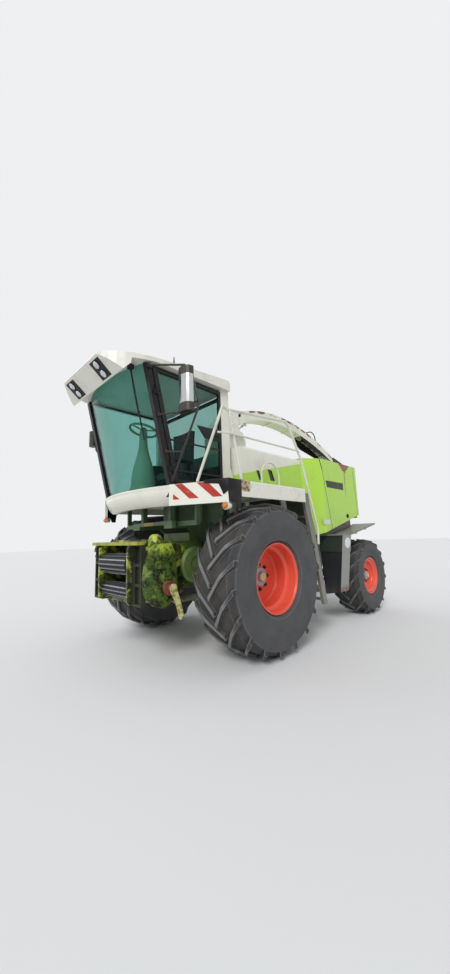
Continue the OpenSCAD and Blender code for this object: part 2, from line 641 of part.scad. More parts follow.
module door_glass() {
  color([0.2, 0.4, 0.4, 0.4]) side(cab_half_w - 20, cab_half_w - 20 + glass_t) door_window();
}
module seat() {
  f = cab_floor_z;
  color([0.12, 0.12, 0.13]) {
    block(330, 620, -190, 190, f, f + 180);
    side(-245, 245) polygon(concat([[300, f + 180]], [[700, f + 180]], arc(715, f + 255, 55, -60, 90, 6),
      [[380, f + 300]], arc(340, f + 340, 40, -20, -90, 3)));
    side(-230, 230) polygon(concat([[250, f + 230], [350, f + 230]], bez([[372, f + 320], [330, f + 600], [330, f + 800],
      [300, f + 960]], 8), arc(262, f + 960, 38, 0, 180, 6), bez([[224, f + 940], [236, f + 700], [236, f + 450],
      [250, f + 240]], 6)));
    both() block(360, 640, 252, 300, f + 430, f + 475);
    both() block(380, 430, 244, 262, f + 280, f + 470);
  }
}
module steering_column() {
  f = cab_floor_z;
  color([0.15, 0.16, 0.16]) {
    translate([985, 0, f]) rotate_extrude($fn = 48) polygon(concat([[0, 0], [190, 0], [185, 40]],
      bez([[165, 90], [150, 420], [62, 500], [56, 700]], 10), [[52, 850], [0, 850]]));
    translate([985, 0, f + 875]) rotate([0, -15, 0]) {
      rotate_extrude($fn = 48) translate([185, 0]) circle(r = 16, $fn = 16);
      cylinder(h = 60, r = 40, center = true);
      for (a = [0 : 120 : 240]) rotate([0, 0, a]) tube([20, 0, 0], [180, 0, 0], 10);
    }
  }
}
module front_fascia() {
  f = cab_floor_z;
  x = screen_x + 190;
  a = asin((cab_half_w + 13) / screen_r);
  color([0.86, 0.86, 0.80]) difference() {
    translate([x - screen_r, 0, 0]) rotate([0, 0, -a]) rotate_extrude(angle = 2 * a, $fn = 180)
      polygon(concat([[screen_r - 60, f - 5]], arc(screen_r - 14, f - 19, 14, 90, 0, 3), [[screen_r - 10, f - 50]],
        bez([[screen_r - 14, f - 80], [screen_r - 30, f - 150], [screen_r - 80, f - 205], [screen_r - 110, f - 232]], 6),
        [[screen_r - 170, f - 232], [screen_r - 75, f - 80]]));
    block(x - 400, screen_x + 26, -cab_half_w, cab_half_w, f - 140, f + 60);
    both() block(x - 400, screen_x + 50, cab_half_w, cab_half_w + 600, f - 340, f + 60);
  }
}
module platforms() {
  w = walk_half_w;
  z = walk_z;
  color([0.86, 0.86, 0.80]) both() {
    translate([0, 0, z - 40]) linear_extrude(40) polygon([[-700, cab_half_w], [screen_x + 5, cab_half_w],
      [812, walk_in], [-700, walk_in]]);
    across(-700, 620) polygon(concat([[walk_in - 1, z - 40], [walk_in, z - 135], [w, z - 135]],
      arc(w - 24, z + 31, 24, 0, 90, 4), [[w - 55, z + 55], [w - 55, z + 40], [walk_in - 1, z + 40]]));
    translate([0, 0, wing_low]) linear_extrude(z + 38 - wing_low) polygon([[screen_x + 35, cab_half_w], [820, w],
      [790, w], [screen_x, cab_half_w]]);
    for (x = [-300, -680]) block(x, x + 60, rail_y - rail_t, cab_half_w, z - 40, z);
  }
}
module corner_panels() {
  z = walk_z;
  color([0.06, 0.06, 0.06]) both() {
    side(walk_in, walk_in + 24) polygon([[622, z - 150], [745, z - 165], [786, z - 120], [786, z + 30], [700, z + 44],
      [622, z + 44]]);
    block(812, 836, walk_in - 20, walk_in, z - 255, wing_low);
  }
}
module lamps() {
  color([0.85, 0.35, 0.05]) {
    both() translate([836, walk_in - 10, wing_low - 36]) rotate([0, 90, 0]) rotate_extrude($fn = 32)
      polygon(concat([[0, 0], [34, 0], [34, 14]], [for (p = arc(0, 0, 1, 0, 90, 4)) [34 * p[0], 14 + 26 * p[1]]]));
    both() block(-body_rear_x - 55, -body_rear_x - 25, body_half_w - 240, body_half_w - 100, 1790, 1850);
  }
}
module handrails() {
  w = walk_half_w - 15;
  z = walk_z;
  color([0.84, 0.84, 0.78]) {
    rail([[975, 1118, z + 55], [905, w - 35, 2700], [860, w - 5, 2858], [760, w, 2840], [600, w, z + 72]], 16);
    rail([[790, w - 1, 2838], [-330, w, 2950], [-415, w, 2895], [-670, w + 2, 2460], [-1000, w + 2, 1480],
      [-985, w + 2, 1290]], 16);
    rail([[905, w - 33, 2560], [800, w + 11, 2562], [-600, w + 11, 2578]], 12);
    for (x = [-590, -190]) translate([x, 1100, z]) cylinder(h = 250, r = 13.5);
    translate([-390, 1100, z + 245]) rotate([90, 0, 0]) rotate_extrude(angle = 180) translate([200, 0]) circle(r = 12);
  }
}
module ladder() {
  z = walk_z;
  color([0.42, 0.43, 0.44]) {
    for (q = [[1000, 25], [walk_in - 45, 45]]) side(q[0], q[0] + q[1]) polygon([[-815, z], [-700, z], [-700, z - 60],
      [-880, 1250], [-1040, 541], [-1060, 440], [-1160, 440], [-985, 1250]]);
    for (i = [0 : 4]) difference() {
      block(-1090 + 49 * i, -1016 + 49 * i, 1024, walk_in - 24, 500 + 290 * i, 528 + 290 * i);
      block(-1084 + 49 * i, -1022 + 49 * i, 1040, walk_in - 40, 499 + 290 * i, 518 + 290 * i);
      for (k = [0 : 5]) block(-1070 + 49 * i, -1036 + 49 * i, 1070 + 52 * k, 1090 + 52 * k, 515 + 290 * i, 530 + 290 * i);
    }
  }
}
function hood_line(w, z, r, z0) = concat([[-w, z0]], arc(-w + r, z - r, r, 180, 90, 6), arc(w - r, z - r, r, 90, 0, 6),
  [[w, z0]]);
module upper_hood() {
  w = hood_half_w;
  color([0.86, 0.86, 0.80]) difference() {
    across(-hood_rear_x, 50) polygon(hood_line(w, hood_z, 55, hood_low_z));
    across(-hood_rear_x - 1, 20) polygon(hood_line(w - sheet_t, hood_z - sheet_t, 30, hood_low_z - 10));
    block(-slew_x - 290, -slew_x + 290, -230, 230, hood_z - 150, hood_z + 1);
    both() {
      side(w - 12, w + 1) polygon([[-200, 2334], [-262, 2334], [-322, 2200], [-258, 2200]]);
      side(w - 12, w + 1) polygon([[-458, 2380], [-560, 2370], [-630, 2215], [-520, 2215]]);
    }
  }
}
module panel() {
  w = body_half_w;
  h = hood_half_w;
  intersection() {
    translate([0, 0, 1300]) linear_extrude(hood_z - 1300) polygon([[-hood_rear_x, h], [-hood_rear_x - 340, w],
      [-body_rear_x, w], [-body_rear_x, w - sheet_t], [-hood_rear_x - 330, w - sheet_t],
      [-hood_rear_x, h - sheet_t - 2]]);
    side(h - 100, w + 100) polygon([[-hood_rear_x - 1, hood_z], [-hood_rear_x - 1, 1990], [-hood_rear_x - 75, 1990],
      [-hood_rear_x - 186, 1408], [-body_rear_x, 1750], [-body_rear_x, hood_z]]);
  }
}
module side_panels() { color([0.50, 0.72, 0.06]) both() panel(); }
module rear_cover() {
  w = body_half_w;
  r = body_rear_x;
  color([0.50, 0.72, 0.06]) {
    difference() {
      translate([0, 0, hood_z]) linear_extrude(25) polygon([[-hood_rear_x, -hood_half_w], [-hood_rear_x, hood_half_w],
        [-hood_rear_x - 340, w], [-r - 25, w], [-r - 25, -w], [-hood_rear_x - 340, -w]]);
      for (i = [0 : 8]) block(-2700 + i * 90, -2660 + i * 90, -700, 700, hood_z - 1, hood_z + 26);
    }
    difference() {
      block(-r - 25, -r, -w, w, 1750, hood_z);
      for (i = [0 : 9]) block(-r - 26, -r + 1, -w + 300, w - 300, 1850 + i * 72, 1890 + i * 72);
    }
    both() block(-r, -r + 60, w - 200, w - sheet_t, 1760, 1800);
    block(-r, -r + 80, -rail_y, rail_y, deck_z, 1760);
    both() side(w - 120, w - sheet_t) polygon([[-r, 1700], [-r, 1760], [-r - 25, 1760], [-r - 25, 1750]]);
  }
}
module engine_block() {
  color([0.18, 0.19, 0.18]) {
    block(-2500, -1600, -rail_y, rail_y, deck_z, 2250);
    block(-1600, -1500, -150, 150, 1500, 1800);
  }
}
module side_boxes() {
  y = walk_half_w - 23;
  h = hood_half_w;
  color([0.20, 0.21, 0.21]) both() difference() {
    union() {
      across(-2060, -1780) polygon([[h, 1345], [y, 1385], [y - 111, 495], [h + 52, 445]]);
      across(-2066, -1774) polygon([[h, 1385], [y + 4, 1385], [y - 28, 1125], [h, 1125]]);
    }
    block(-1790, -1778, h + 50, y - 150, 560, 1180);
  }
}
module rear_mudguards() {
  y = walk_half_w - 20;
  color([0.36, 0.37, 0.37]) both() {
    side(hood_half_w, y) polygon([[-1760, 1385], [-1760, 1410], [-2060, 1410], [-3130, 1590], [-3130, 1565],
      [-2070, 1385]]);
    side(rail_y, hood_half_w) polygon([[-1860, deck_z - 35], [-1860, deck_z - 20], [-1790, deck_z - 20],
      [-1790, deck_z - 35]]);
    side(1050, 1060) polygon([[-1540, 1400], [-2060, 1400], [-2890, 1540], [-2890, 1755], [-1540, 1430]]);
    for (x = [-2300, -2700]) side(y - 60, y) polygon([[x, 1400 + (-2060 - x) * 0.168], [x + 26, 1395 + (-2060 - x) * 0.168],
      [x + 26, 1364 + (-2060 - x) * 0.168], [x, 1364 + (-2060 - x) * 0.168]]);
  }
}
module mirror_head(x, y, z, w, h) {
  translate([x, y, z - h / 2]) linear_extrude(h) polygon(concat([[-30, -w / 2], [-30, w / 2]],
    bez([[0, w / 2], [90, w / 2], [90, -w / 2], [0, -w / 2]], 8)));
}
module mirrors() {
  y = cab_half_w;
  x = screen_x - 10;
  f = cab_floor_z;
  color([0.08, 0.08, 0.08]) {
    rail([[1395, y + 30, roof_z - 50], [1200, y + 400, f + 1280], [1160, y + 460, f + 1190], [1108, y + 530, f + 840],
      [1116, y + 500, f + 736], [x, y + 22, f + 72]], 12);
    tube([1272, y + 6, f + 804], [1116, y + 500, f + 736], 9);
    tube([1174, y + 6, f + 380], [1101, y + 215, f + 350], 9);
    for (q = [[1272, 804], [1174, 380]]) block(q[0] - 20, q[0] + 20, y, y + 14, f + q[1] - 22, f + q[1] + 22);
    block(1370, 1420, y, y + 20, roof_z - 75, roof_z - 25);
    block(x - 20, x + 20, y, y + 15, f + 42, f + 102);
    mirror_head(1180, y + 400, f + 990, 195, 510);
    for (z = [840, 1140]) tube([1160, y + 400, f + z], [1024 + z * 0.12, y + 522 - (z - 840) * 0.2, f + z], 9);
    rail([[1395, -y - 30, roof_z - 50], [1300, -y - 150, f + 1300], [1250, -y - 170, f + 1210],
      [1225, -y - 165, f + 760], [1200, -y - 12, f + 600]], 11);
    block(1370, 1420, -y - 20, -y, roof_z - 75, roof_z - 25);
    block(1190, 1230, -y - 14, -y, f + 580, f + 625);
    mirror_head(1262, -y - 165, f + 920, 120, 230);
  }
}
module crop_tower() {
  x = -slew_x;
  color([0.80, 0.80, 0.74]) {
    difference() {
      union() {
        block(x - 280, x + 280, -220, 220, 1500, ring_z);
        for (i = [0 : 5]) block(x - 288, x + 288, -228, 228, 1620 + i * 220, 1640 + i * 220);
      }
      block(x - 250, x + 250, -190, 190, 1400, ring_z + 1);
    }
    difference() {
      translate([x, 0, ring_z]) cylinder(h = 25, r = ring_d / 2);
      translate([x, 0, ring_z - 1]) cylinder(h = 27, r = ring_d / 2 - 130);
    }
    block(x + 280, 140, -220, 220, 1300, 1500);
    block(x - 280, x + 280, -220, 220, 1401, 1500);
  }
}
module at_spout() { translate([-slew_x, 0, ring_z]) children(); }
module spout_turntable() {
  w = spout_w / 2;
  h = spout_hinge;
  color([0.86, 0.86, 0.80]) at_spout() {
    difference() {
      union() {
        translate([0, 0, 25.3]) cylinder(h = 40, r = ring_d / 2 - 10);
        translate([0, 0, 2]) cylinder(h = 24, r = ring_d / 2 - 130 - run);
      }
      translate([0, 0, 0]) cylinder(h = 70, r = ring_d / 2 - 160);
    }
    difference() {
      side(-w - 20, w + 20) polygon(concat([[-220, 65], [250, 65]], bez([[250, 160], [240, 330], [40, 440], [-160, 490]], 8),
        [[-200, 485], [-200, 300]]));
      side(-w - 7, w + 7) polygon(concat([[-160, 60], [220, 60]], bez([[220, 150], [205, 310], [20, 415], [-230, 460]], 8),
        [[-230, 230]]));
    }
    difference() {
      union() {
        both() {
          axle_rod(h[0], h[1], w - 60, w + 10, 30);
          block(h[0] + 10, h[0] + 70, w - 60, w + 10, h[1] - 30, h[1] + 20);
        }
        axle_rod(h[0], h[1], -w - 10, w + 10, 14);
      }
      block(h[0] - 140, h[0] - 1, -w - 20, w + 20, h[1] - 100, h[1] - 31);
    }
    block(-305, -240, -w - 45, -w - 30, 26, 90);
    block(-305, -160, -w - 45, -w - 20, 26, 65);
    axle_rod(cyl_foot[0], cyl_foot[1], -w - 95, -w - 45, 10);
  }
}
module spout_outer(d = 0) {
  polygon(concat(up(bez(spout_top, 20), d), up(back(bez(spout_edge, 8)), -d), up(back(bez(spout_low, 10)), -d),
    [[-180, 290], [-180, 380], [-290, 440]]));
}
module spout_arch() {
  w = spout_w / 2;
  h = spout_hinge;
  e = cyl_eye;
  color([0.86, 0.86, 0.80]) at_spout() {
    difference() {
      union() {
        axle_rod(h[0], h[1], -w + 66, w - 66, 30);
        side(-w + 66, w - 66) polygon([[-360, 550], [-255, 518], [-255, 488], [-360, 512]]);
      }
      axle_rod(h[0], h[1], -w, w, 14 + run);
    }
    axle_rod(e[0], e[1], -w - 98, -w + 4, 10);
    side(-w - 8, -w + 4) polygon([[-740, 530], [-620, 530], [-642, 415], [-718, 415]]);
    axle_rod(flap_pin[0], flap_pin[1], -w - 18, w + 18, 10);
    both() axle_rod(flap_pin[0], flap_pin[1], w - spout_t, w, 26);
    difference() {
      union() {
        side(-w, w) spout_outer();
        for (x = [-1230, -1890]) intersection() {
          side(-w - 10, w + 10) spout_outer(10);
          block(x - 15, x + 15, -400, 400, 0, 900);
        }
      }
      side(-w + spout_t, w - spout_t) polygon(concat([[-170, 475], [-300, 490]],
        up([for (p = bez(spout_top, 20)) if (p[0] < -310) p], -spout_t - 1), [[-3640, 100], [-3640, -100], [-2240, -100],
        [-2240, 470]], up(back([for (p = bez(spout_low, 10)) if (p[0] > -2225) p]), spout_t + 1), [[-170, 300]]));
    }
  }
}
module spout_liner() {
  y = spout_in;
  color([0.05, 0.05, 0.05]) at_spout() {
    both() side(y - 8, y) polygon(concat([[-2270, 500]], up(bez([[-2680, 420], [-3000, 350], [-3300, 250], [-3600, 80]], 6), 0),
      bez([[-3610, 50], [-3380, 110], [-2750, 220], [-2560, 252]], 6), [[-2290, 400]]));
    for (q = [[-2420, 390], [-2800, 300], [-3250, 190]]) axle_rod(q[0], q[1], -y + 1, y - 1, 14);
  }
}
module flap_actuator() {
  color([0.05, 0.05, 0.05]) at_spout() difference() {
    union() {
      for (q = [[-2710, 500, 80], [-3060, 380, 90], [-3500, 190, 60]]) side(-16, 16)
        polygon([[q[0] - 30, q[1] - 60], [q[0] + 30, q[1] - 60], [q[0] + 18, q[1] + q[2]], [q[0] - 18, q[1] + q[2]]]);
      tube([-2690, 0, 560], [-3090, 0, 440], 26);
      tube([-3060, 0, 449], [-3500, 0, 236], 10);
    }
    side(-60, 60) spout_outer();
  }
}
module spout_flap() {
  w = spout_w / 2;
  color([0.1, 0.1, 0.1]) at_spout() translate([flap_pin[0], 0, flap_pin[1]]) difference() {
    union() {
      side(-w - 14, w + 14) polygon([[0, 32], [-529, -90], [-510, -185], [0, -88]]);
      both() axle_rod(0, 0, w + 6, w + 14, 26);
    }
    side(-w - 6, w + 6) polygon([[40, 30], [-545, -104.9], [-545, -340], [40, -340]]);
    side(-w - 6, w + 6) polygon([[-46, 82], [-46, -38], [40, -38], [40, 82]]);
    axle_rod(0, 0, -w - 20, w + 20, 10 + run);
  }
}
module spout_barrel() {
  y = -spout_w / 2 - 75;
  a = cyl_foot;
  b = cyl_eye;
  d = (b - a) / norm(b - a);
  color([0.1, 0.1, 0.1]) at_spout() difference() {
    union() {
      tube([a[0], y, a[1]], [a[0] + d[0] * 308, y, a[1] + d[1] * 308], 25);
      tube([a[0] + d[0] * 280, y, a[1] + d[1] * 280], [a[0] + d[0] * 318, y, a[1] + d[1] * 318], 29);
      axle_rod(a[0], a[1], y - 17, y + 17, 27);
    }
    tube([a[0] + d[0] * 45, y, a[1] + d[1] * 45], [a[0] + d[0] * 320, y, a[1] + d[1] * 320], 14 + run);
    axle_rod(a[0], a[1], y - 35, y + 35, 10 + run);
  }
}
module spout_rod() {
  y = -spout_w / 2 - 75;
  a = cyl_foot;
  b = cyl_eye;
  d = (b - a) / norm(b - a);
  color([0.65, 0.65, 0.66]) at_spout() difference() {
    union() {
      tube([a[0] + d[0] * 60, y, a[1] + d[1] * 60], [b[0] - d[0] * 22, y, b[1] - d[1] * 22], 14);
      axle_rod(b[0], b[1], y - 16, y + 16, 28);
    }
    axle_rod(b[0], b[1], y - 17, y + 17, 18);
  }
}

place() {
  main_frame();
  front_axle();
  rear_axle();
  knuckle(1);  // knuckle_left
  knuckle(-1);  // knuckle_right
  tie_rod();
  steer_barrel();
  steer_rod();
  front_rim(1);  // front_rim_left
  front_rim(-1);  // front_rim_right
  rear_rim(1);  // rear_rim_left
  rear_rim(-1);  // rear_rim_right
  front_tyre(1);  // front_tyre_left
  front_tyre(-1);  // front_tyre_right
  rear_tyre(1);  // rear_tyre_left
  rear_tyre(-1);  // rear_tyre_right
  tow_hitch();
  chopper_housing();
  feed_housing();
  feed_frame();
  feed_drives();
  upper_feed_roll();
  lower_feed_roll();
  lift_barrels();
  lift_rods();
  cab_shell();
  rear_pillars();
  cab_roof();
  roof_lamps();
  cab_fittings();
  windscreen();
  cab_glass();
  cab_door();
  door_glass();
  seat();
  steering_column();
  front_fascia();
  platforms();
  corner_panels();
  lamps();
  handrails();
  ladder();
  upper_hood();
  side_panels();
  rear_cover();
  engine_block();
  side_boxes();
  rear_mudguards();
  mirrors();
  crop_tower();
  spout_turntable();
  spout_arch();
  spout_liner();
  flap_actuator();
  spout_flap();
  spout_barrel();
  spout_rod();
}
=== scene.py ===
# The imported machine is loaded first. Every piece below is placed in its frame, in metres,
# with +X forward, +Y to the machine's left and the ground at z = 0.
import bpy
import bmesh
import math
from mathutils import Matrix, Vector


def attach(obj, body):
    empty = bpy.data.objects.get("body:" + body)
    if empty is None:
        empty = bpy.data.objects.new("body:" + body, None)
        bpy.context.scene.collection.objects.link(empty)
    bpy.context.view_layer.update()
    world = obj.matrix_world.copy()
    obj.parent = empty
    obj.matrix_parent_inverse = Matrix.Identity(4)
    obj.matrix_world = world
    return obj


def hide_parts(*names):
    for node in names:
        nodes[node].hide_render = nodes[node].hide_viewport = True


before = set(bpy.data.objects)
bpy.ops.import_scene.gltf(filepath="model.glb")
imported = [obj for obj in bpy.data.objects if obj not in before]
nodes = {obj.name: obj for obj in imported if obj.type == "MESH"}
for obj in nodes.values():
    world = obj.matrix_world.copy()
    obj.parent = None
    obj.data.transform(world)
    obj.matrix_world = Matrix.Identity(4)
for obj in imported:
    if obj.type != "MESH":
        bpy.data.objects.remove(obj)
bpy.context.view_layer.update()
bpy.ops.object.select_all(action="DESELECT")

# Studio: a pale floor, one broad soft sun with a weaker fill, a pale sky, and the camera
# low at the machine's left front corner, as in the photograph.
camera_place = (4.794, 3.902, 1.433)
yaw, pitch, roll = math.radians(44.916), math.radians(8.444), math.radians(-1.878)
ahead = Vector((-math.cos(yaw) * math.cos(pitch), -math.sin(yaw) * math.cos(pitch), math.sin(pitch)))
level = Vector((-math.sin(yaw), math.cos(yaw), 0))
over = level.cross(ahead)
right = level * math.cos(roll) + over * math.sin(roll)
upward = over * math.cos(roll) - level * math.sin(roll)
bpy.ops.object.camera_add(location=camera_place)
camera = bpy.context.object
turned = Matrix((right, upward, -ahead)).transposed().to_4x4()
camera.matrix_world = Matrix.Translation(camera_place) @ turned
camera.data.lens = 12.258
camera.data.sensor_width = 36
camera.data.clip_end = 300
bpy.context.scene.camera = camera
bpy.context.scene.view_settings.view_transform = "Standard"

bpy.ops.mesh.primitive_circle_add(vertices=96, radius=60, fill_type="NGON", location=(0, 0, -0.002))
floor = bpy.context.object
floor.name = "studio_floor"
floor_paint = bpy.data.materials.new("studio_floor_paint")
floor_paint.use_nodes = True
floor_shader = floor_paint.node_tree.nodes["Principled BSDF"]
floor_shader.inputs["Base Color"].default_value = (0.80, 0.80, 0.80, 1)
floor_shader.inputs["Roughness"].default_value = 0.9
floor.data.materials.append(floor_paint)

sky = bpy.data.worlds.new("studio_sky")
sky.use_nodes = True
bpy.context.scene.world = sky
tree = sky.node_tree
seen = tree.nodes.new("ShaderNodeLightPath")
lit = tree.nodes["Background"]
lit.inputs["Color"].default_value = (0.93, 0.96, 1, 1)
lit.inputs["Strength"].default_value = 0.55
shown = tree.nodes.new("ShaderNodeBackground")
shown.inputs["Color"].default_value = (0.86, 0.87, 0.88, 1)
shown.inputs["Strength"].default_value = 1
both = tree.nodes.new("ShaderNodeMixShader")
any_sight = tree.nodes.new("ShaderNodeMath")
any_sight.operation = "MAXIMUM"
tree.links.new(seen.outputs["Is Camera Ray"], any_sight.inputs[0])
tree.links.new(seen.outputs["Is Glossy Ray"], any_sight.inputs[1])
tree.links.new(any_sight.outputs[0], both.inputs[0])
tree.links.new(lit.outputs[0], both.inputs[1])
tree.links.new(shown.outputs[0], both.inputs[2])
tree.links.new(both.outputs[0], tree.nodes["World Output"].inputs["Surface"])
for turn, strength, spread in (((52, 0, 118), 1.75, 22), ((60, 0, 10), 0.5, 60)):
    bpy.ops.object.light_add(type="SUN", rotation=[math.radians(a) for a in turn])
    bpy.context.object.data.energy = strength
    bpy.context.object.data.angle = math.radians(spread)


# Painted sheet metal: the cab roof, fascia, rear pillars, tower and turntable wear one gloss cream
# coat, and the frame, axles and small sheet parts their own. All of it has faded in clouds, is
# dusty low down and rusts in spots and along its edges.
def stitch(tree, value, socket):
    """a link where the value is a socket, and otherwise the value on the socket"""
    if isinstance(value, bpy.types.NodeSocket):
        tree.links.new(value, socket)
    else:
        socket.default_value = value


def reckon(tree, kind, a, b=0.0, c=0.0, clamp=False):
    """a sum of the kind, of sockets or numbers"""
    node = tree.nodes.new("ShaderNodeMath")
    node.operation = kind
    node.use_clamp = clamp
    for value, socket in zip((a, b, c), node.inputs):
        stitch(tree, value, socket)
    return node.outputs[0]


def times(tree, a, b, clamp=False):
    return reckon(tree, "MULTIPLY", a, b, clamp=clamp)


def clouds(tree, place, size, detail=6.0, rough=0.6):
    """noise whose largest patches are about size metres across"""
    node = tree.nodes.new("ShaderNodeTexNoise")
    tree.links.new(place, node.inputs["Vector"])
    node.inputs["Scale"].default_value = 1 / size
    node.inputs["Detail"].default_value = detail
    node.inputs["Roughness"].default_value = rough
    return node.outputs["Fac"]


def step_up(tree, value, low, high):
    """0 below low, 1 above high"""
    node = tree.nodes.new("ShaderNodeMapRange")
    node.interpolation_type = "SMOOTHSTEP"
    stitch(tree, value, node.inputs["Value"])
    stitch(tree, low, node.inputs["From Min"])
    stitch(tree, high, node.inputs["From Max"])
    return node.outputs["Result"]


def step_down(tree, value, low, high):
    """1 below low, 0 above high"""
    return reckon(tree, "SUBTRACT", 1.0, step_up(tree, value, low, high))


def blend_colour(tree, share, a, b):
    """a where the share is 0, b where it is 1"""
    node = tree.nodes.new("ShaderNodeMix")
    node.data_type = "RGBA"
    stitch(tree, share, node.inputs[0])
    stitch(tree, a if isinstance(a, bpy.types.NodeSocket) else (*a, 1), node.inputs[6])
    stitch(tree, b if isinstance(b, bpy.types.NodeSocket) else (*b, 1), node.inputs[7])
    return node.outputs[2]


def new_finish(name):
    """an empty finish, its tree, its shader, the place on the piece and that place's x, y and z"""
    finish = bpy.data.materials.new(name)
    finish.use_nodes = True
    tree = finish.node_tree
    shader = tree.nodes["Principled BSDF"]
    place = tree.nodes.new("ShaderNodeTexCoord").outputs["Object"]
    parts = tree.nodes.new("ShaderNodeSeparateXYZ")
    tree.links.new(place, parts.inputs[0])
    return finish, tree, shader, place, parts.outputs


def rub_edges(tree, width):
    """1 on sharp edges, 0 on flat sheet"""
    soft = tree.nodes.new("ShaderNodeBevel")
    soft.samples = 4
    soft.inputs["Radius"].default_value = width
    true = tree.nodes.new("ShaderNodeNewGeometry")
    dot = tree.nodes.new("ShaderNodeVectorMath")
    dot.operation = "DOT_PRODUCT"
    tree.links.new(soft.outputs[0], dot.inputs[0])
    tree.links.new(true.outputs["Normal"], dot.inputs[1])
    return step_up(tree, reckon(tree, "SUBTRACT", 1.0, dot.outputs["Value"]), 0.02, 0.2)


def raise_skin(tree, shader, height, depth, strength=0.5):
    bump = tree.nodes.new("ShaderNodeBump")
    bump.inputs["Distance"].default_value = depth
    bump.inputs["Strength"].default_value = strength
    tree.links.new(height, bump.inputs["Height"])
    tree.links.new(bump.outputs[0], shader.inputs["Normal"])


def coat(tree, shader, colour, rough):
    """the shader's colour and roughness, each a socket or a plain value"""
    stitch(tree, colour, shader.inputs["Base Color"])
    stitch(tree, rough, shader.inputs["Roughness"])


field_dust = (0.30, 0.26, 0.20)
light_rust, dark_rust = (0.19, 0.095, 0.05), (0.055, 0.026, 0.014)
chalk_colour = (0.62, 0.60, 0.52)


def weather(tree, shader, place, parts, colour, rough, rust, dirt, dust, low, chalk=0.22):
    """fading, dust from the ground up to low metres, dirt in clouds, and rust spots"""
    fade = clouds(tree, place, 0.9, 4)
    grain = clouds(tree, place, 0.03, 8, 0.7)
    patches = clouds(tree, place, 0.28, 9, 0.72)
    pale = blend_colour(tree, times(tree, fade, chalk), colour, chalk_colour)
    film = times(tree, step_up(tree, patches, 0.48, 0.75), dirt, clamp=True)
    soiled = blend_colour(tree, film, pale, dust)
    ground = times(tree, step_down(tree, parts["Z"], 0.2, low), step_up(tree, patches, 0.3, 0.62), clamp=True)
    soiled = blend_colour(tree, times(tree, ground, 0.75), soiled, dust)
    worn = times(tree, rub_edges(tree, 0.009), step_up(tree, grain, 0.5, 0.62))
    speckle = reckon(tree, "ADD", patches, times(tree, grain, 0.35))
    spots = step_up(tree, speckle, 1.03 - rust, 1.08 - rust)
    eaten = reckon(tree, "MAXIMUM", spots, times(tree, worn, min(1.0, rust * 3)), clamp=True)
    brown = blend_colour(tree, grain, dark_rust, light_rust)
    dull = reckon(tree, "ADD", rough, times(tree, film, 0.35))
    dullest = reckon(tree, "MAXIMUM", dull, times(tree, eaten, 0.85), clamp=True)
    coat(tree, shader, blend_colour(tree, eaten, soiled, brown), dullest)
    raise_skin(tree, shader, reckon(tree, "SUBTRACT", times(tree, grain, 0.3), eaten), 0.0012)


def old_paint(name, colour, rough=0.32, rust=0.10, dirt=0.3, dust=field_dust, low=1.5):
    """a weathered coat; dark colours fade and shine less"""
    finish, tree, shader, place, parts = new_finish(name)
    dark = max(colour) < 0.1
    weather(tree, shader, place, parts, colour, rough, rust, dirt, dust, low, 0.015 if dark else 0.2)
    shader.inputs["Specular IOR Level"].default_value = 0.2 if dark else 0.5
    shader.inputs["Coat Weight"].default_value = 0.03 if dark else 0.15
    shader.inputs["Coat Roughness"].default_value = 0.2
    return finish


def dress(finish, *names):
    """gives the finish to the machine's own solids of these names"""
    for name in names:
        for slot in nodes[name].material_slots:
            slot.material = finish


cream = (0.78, 0.77, 0.68)
lime = (0.40, 0.70, 0.018)
cream_paint = old_paint("old_cream_paint", cream)
dress(cream_paint, "cab_roof", "rear_pillars", "front_fascia", "crop_tower", "spout_turntable")
dress(old_paint("rail_paint", (0.70, 0.70, 0.60), rough=0.4, rust=0.14, dirt=0.6), "handrails")
dress(old_paint("dark_green_paint", (0.04, 0.12, 0.03), rough=0.5, rust=0.18, dirt=0.4,
                dust=(0.10, 0.10, 0.06)), "main_frame")
dress(old_paint("housing_paint", (0.10, 0.22, 0.02), rough=0.45, rust=0.2, dirt=0.8,
                dust=(0.06, 0.07, 0.03)), "chopper_housing")
dress(old_paint("black_paint", (0.011, 0.011, 0.012), rough=0.28, rust=0.04, dirt=0.12,
                dust=(0.12, 0.12, 0.11)),
      "cab_shell", "cab_door", "steer_barrel", "spout_barrel", "spout_flap", "flap_actuator")
dress(old_paint("feed_frame_paint", (0.016, 0.02, 0.012), rough=0.5, rust=0.18, dirt=0.9,
                dust=(0.05, 0.055, 0.03)), "feed_frame")
dress(old_paint("grey_paint", (0.115, 0.12, 0.12), rough=0.5, rust=0.14, dirt=0.5, low=2.2),
      "ladder", "rear_mudguards")
dress(old_paint("casting_paint", (0.035, 0.033, 0.03), rough=0.65, rust=0.3, dirt=0.9, low=1.2),
      "front_axle", "rear_axle", "knuckle_left", "knuckle_right", "tie_rod", "tow_hitch", "engine_block")
dress(old_paint("lift_ram_paint", (0.08, 0.14, 0.02), rough=0.45, rust=0.2, dirt=0.8), "lift_barrels")


# Discharge spout: the same cream sheet, but its paint has flaked off in brown patches along the
# top flange. The flange's height follows a cubic in X.
def lay_over(tree, shader, share, colour):
    """the colour over what the finish has so far, where the share is 1"""
    under = shader.inputs["Base Color"].links[0].from_socket
    stitch(tree, blend_colour(tree, share, under, colour), shader.inputs["Base Color"])


